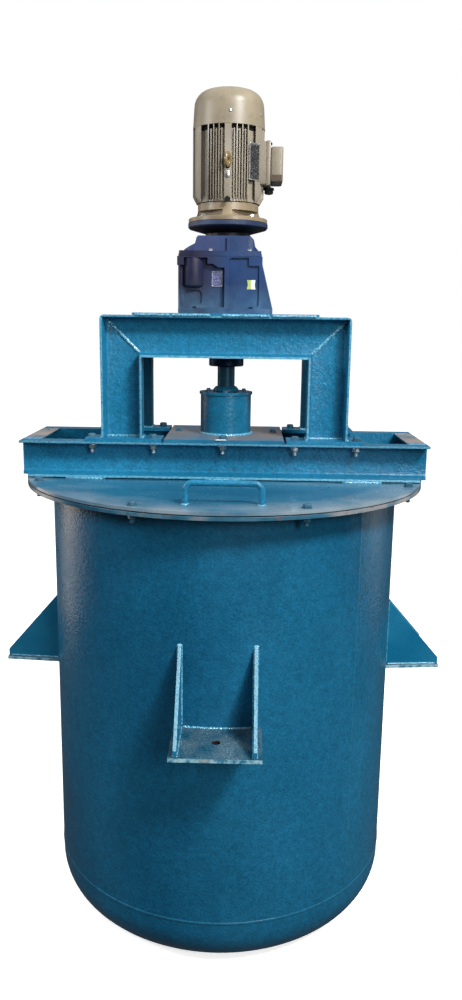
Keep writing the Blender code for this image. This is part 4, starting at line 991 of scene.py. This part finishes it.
def lifting_eye():
    """A forged eye on the motor's middle rib, two dark discs on the rib as painted shade in its hollows, and
    the earth screw's tip.
    """
    shape = bmesh.new()
    middle = Vector((0.0, -MOTOR_R - 0.008, MOTOR_FOOT + 0.1005))
    twist = math.radians(34.0)
    stretch = 1.45
    inner_radius = 0.0088
    across = Vector((math.sin(twist), math.cos(twist), 0.0))
    normal = Vector((math.cos(twist), -math.sin(twist), 0.0))
    loops = []
    for angle in turn_angles(28):
        out = across * math.cos(angle) + Vector((0.0, 0.0, stretch * math.sin(angle)))
        thick = 0.0047 + 0.0012 * math.sin(angle)
        section = [(inner_radius + thick * math.cos(a), thick * math.sin(a)) for a in turn_angles(12)]
        loops.append([shape.verts.new(middle + out * far + normal * aside) for far, aside in section])
    join_loops(shape, loops + loops[:1])
    turned(shape, at((0.0, -MOTOR_R + 0.001, middle.z - 0.006), FORWARD), 20,
           [(0.0095, 0.0), (0.0100, 0.0015), (0.0085, 0.0040), (0.0045, 0.0060)])
    piece("motor_lifting_eye", shape, EYE_GOLD)
    # Painted shade: two dark discs on the rib.
    hollow = bmesh.new()
    turned(hollow, at((0.0, -MOTOR_R, MOTOR_FOOT + 0.0865), FORWARD), 20,
           [(0.0062, 0.0), (0.0060, 0.0006), (0.0030, 0.0008)])
    turned(hollow, at((0.0, -MOTOR_R, MOTOR_FOOT + 0.003), FORWARD), 20,
           [(0.0075, 0.0), (0.0073, 0.0005), (0.0030, 0.0007)])
    piece("motor_rib_hollow_shades", hollow, SHADE_BLACK)
    tip = bmesh.new()
    oval = at((0.0, -MOTOR_R, MOTOR_FOOT + 0.0665), FORWARD) @ Matrix.Diagonal((1.0, 1.5, 1.0, 1.0))
    turned(tip, oval, 24, [(0.0068, 0.0), (0.0070, 0.0012), (0.0058, 0.0034), (0.0030, 0.0046)])
    piece("motor_earth_tip", tip, ZINC)


def terminal_box_trim():
    """A dark band round the cover's lower part as painted shade under its edge, and a blind gland with no cord.
    """
    band = bmesh.new()
    x0, x1 = LID_LOW.x + 0.001, LID_HIGH.x
    y = LID_HIGH.y
    z0 = LID_LOW.z + 0.0035
    z1 = z0 + 0.014
    cut = 0.004
    route = [(x0, -y), (x1 - cut, -y), (x1, -y + cut), (x1, y - cut), (x1 - cut, y), (x0, y)]
    steps = len(route) - 1

    def place(u, v, depth):
        index = min(int(u * steps + 1e-6), steps - 1)
        point = Vector(route[index]).lerp(Vector(route[index + 1]), u * steps - index)
        out = Vector((point.x - x0, point.y * 1.2)).normalized()
        shift = out * (depth - 0.0002)
        return Vector((point.x + shift.x, point.y + shift.y, z0 + (z1 - z0) * v))
    rolled_sheet(band, steps, 2, 0.0006, place)
    piece("terminal_box_shade_band", band, SHADE_BAND)
    gland = bmesh.new()
    spot = at(((BOX_LOW.x + BOX_HIGH.x) / 2 + 0.012, 0.0, BOX_LOW.z), DOWN)
    turned(gland, spot, 6, [(0.0140, 0.0), (0.0146, 0.001), (0.0146, 0.006), (0.0136, 0.007)])
    turned(gland, spot, 24, [(0.0120, 0.006), (0.0124, 0.013), (0.0112, 0.016), (0.0070, 0.0175)])
    piece("terminal_box_blind_gland", gland, RUBBER)


def fan_air_gap_shade():
    """A dark ring between the short fins' ends and the fan cover: painted shade in the opening there."""
    shape = bmesh.new()
    radius = GROOVE_FLOOR_R + 0.0006
    turned(shape, at((0.0, 0.0, MOTOR_TOP - 0.0108)), 64,
           [(radius - 0.0004, 0.0), (radius, 0.001), (radius, 0.0095), (radius - 0.0004, 0.0105)])
    piece("fan_air_gap_shade", shape, SHADE_BLACK)


def paint_drips():
    """White drips of old paint on the frame's front flange."""
    shape = bmesh.new()
    for x, size in ((-0.016, 0.010), (-0.005, 0.007), (0.002, 0.005)):
        place = at((x, FRAME_LOW.y + 0.004, FRAME_HIGH.z + 0.0100), spin=x)
        turned(shape, place, 14, [(size, 0.0), (size * 0.9, 0.0006), (size * 0.4, 0.0012)])
    piece("paint_drips", shape, WHITE_DRIP)


# Stage

def build_camera():
    sin_yaw, cos_yaw = math.sin(YAW), math.cos(YAW)
    sin_pitch, cos_pitch = math.sin(PITCH), math.cos(PITCH)
    right = Vector((cos_yaw, -sin_yaw, 0.0))
    ahead = Vector((sin_yaw * cos_pitch, cos_yaw * cos_pitch, -sin_pitch))
    above = Vector((sin_yaw * sin_pitch, cos_yaw * sin_pitch, cos_pitch))
    rolled_x = right * math.cos(ROLL) + above * math.sin(ROLL)
    rolled_y = above * math.cos(ROLL) - right * math.sin(ROLL)
    data = bpy.data.cameras.new("camera")
    data.lens = LENS
    data.sensor_width = SENSOR
    camera = bpy.data.objects.new("camera", data)
    pose = Matrix((rolled_x, rolled_y, -ahead)).transposed().to_4x4()
    pose.translation = CAMERA_PLACE
    camera.matrix_world = pose
    bpy.context.scene.collection.objects.link(camera)
    bpy.context.scene.camera = camera


def area_light(name, place, target, size, watts, colour=(1.0, 1.0, 1.0), height=None, glossy=True):
    data = bpy.data.lights.new(name, "AREA")
    data.energy = watts
    data.color = colour
    data.shape = "RECTANGLE"
    data.size = size
    data.size_y = height or size
    obj = bpy.data.objects.new(name, data)
    obj.location = place
    obj.rotation_euler = (Vector(target) - Vector(place)).to_track_quat("-Z", "Y").to_euler()
    obj.visible_glossy = glossy
    bpy.context.scene.collection.objects.link(obj)


def build_world():
    """White to the eye, and for light a dim room with a bright ceiling."""
    bpy.context.scene.view_settings.view_transform = "Standard"
    world = bpy.data.worlds.new("studio")
    bpy.context.scene.world = world
    world.use_nodes = True
    tree = world.node_tree
    tree.nodes.clear()
    place = tree.nodes.new("ShaderNodeTexCoord")
    split = tree.nodes.new("ShaderNodeSeparateXYZ")
    ramp = tree.nodes.new("ShaderNodeValToRGB")
    height = tree.nodes.new("ShaderNodeMapRange")
    height.inputs["From Min"].default_value = -1.0
    height.inputs["From Max"].default_value = 1.0
    set_stops(ramp, [(position, grey(light)) for position, light in ROOM_LIGHT])
    dome = tree.nodes.new("ShaderNodeBackground")
    white = tree.nodes.new("ShaderNodeBackground")
    white.inputs["Color"].default_value = grey(1.0)
    rays = tree.nodes.new("ShaderNodeLightPath")
    mix = tree.nodes.new("ShaderNodeMixShader")
    out = tree.nodes.new("ShaderNodeOutputWorld")
    links = tree.links
    links.new(place.outputs["Generated"], split.inputs["Vector"])
    links.new(split.outputs["Z"], height.inputs["Value"])
    links.new(height.outputs["Result"], ramp.inputs["Fac"])
    links.new(ramp.outputs["Color"], dome.inputs["Color"])
    links.new(rays.outputs["Is Camera Ray"], mix.inputs["Fac"])
    links.new(dome.outputs["Background"], mix.inputs[1])
    links.new(white.outputs["Background"], mix.inputs[2])
    links.new(mix.outputs["Shader"], out.inputs["Surface"])


def build_floor():
    """A pale floor that throws no light back up: the room's own dark floor lights the object from below."""
    shape = bmesh.new()
    bmesh.ops.create_grid(shape, x_segments=1, y_segments=1, size=30.0)
    mesh = bpy.data.meshes.new("floor")
    shape.to_mesh(mesh)
    shape.free()
    paint = Paint("pale_floor", grey(0.85), 0.9, specular=0.0)
    paint.shader.inputs["Emission Color"].default_value = grey(1.0)
    paint.shader.inputs["Emission Strength"].default_value = FLOOR_GLOW
    mesh.materials.append(paint.material)
    obj = bpy.data.objects.new("floor", mesh)
    obj.visible_diffuse = False
    obj.visible_glossy = False
    bpy.context.scene.collection.objects.link(obj)


build_camera()
build_world()
build_floor()
area_light("key", (2.1, -2.7, 4.3), (0.1, 0.0, 1.0), 0.8, 250.0, (1.0, 0.98, 0.96))
area_light("front", (1.7, -4.0, 2.6), (0.0, 0.0, 0.9), 1.2, 86.0, (1.0, 0.99, 0.97))
area_light("fill", (-3.5, -1.5, 3.0), (0.0, 0.0, 1.5), 1.0, 72.0, (0.92, 0.96, 1.0))
area_light("rear", (-1.2, 3.6, 3.2), (0.0, 0.0, 1.0), 1.6, 50.0, (0.95, 0.97, 1.0), glossy=False)
area_light("left_wall", (-2.4, 0.9, 1.65), (0.0, 0.0, 1.2), 0.9, 24.0, (1.0, 0.84, 0.72), 3.2)
area_light("right_wall", (2.6, 0.9, 1.3), (0.0, 0.0, 0.8), 0.9, 9.0, (1.0, 0.94, 0.86), 2.4)

dress_all()
bottom_head()
cover_bolts()
frame_bolts()
bearing_bolts()
drive_bolts()
motor_screws()
lug_holes()
portal_welds()
frame_welds()
tank_welds()
lug_welds()
rating_plate()
gearbox_plates()
lifting_eye()
terminal_box_trim()
fan_air_gap_shade()
paint_drips()
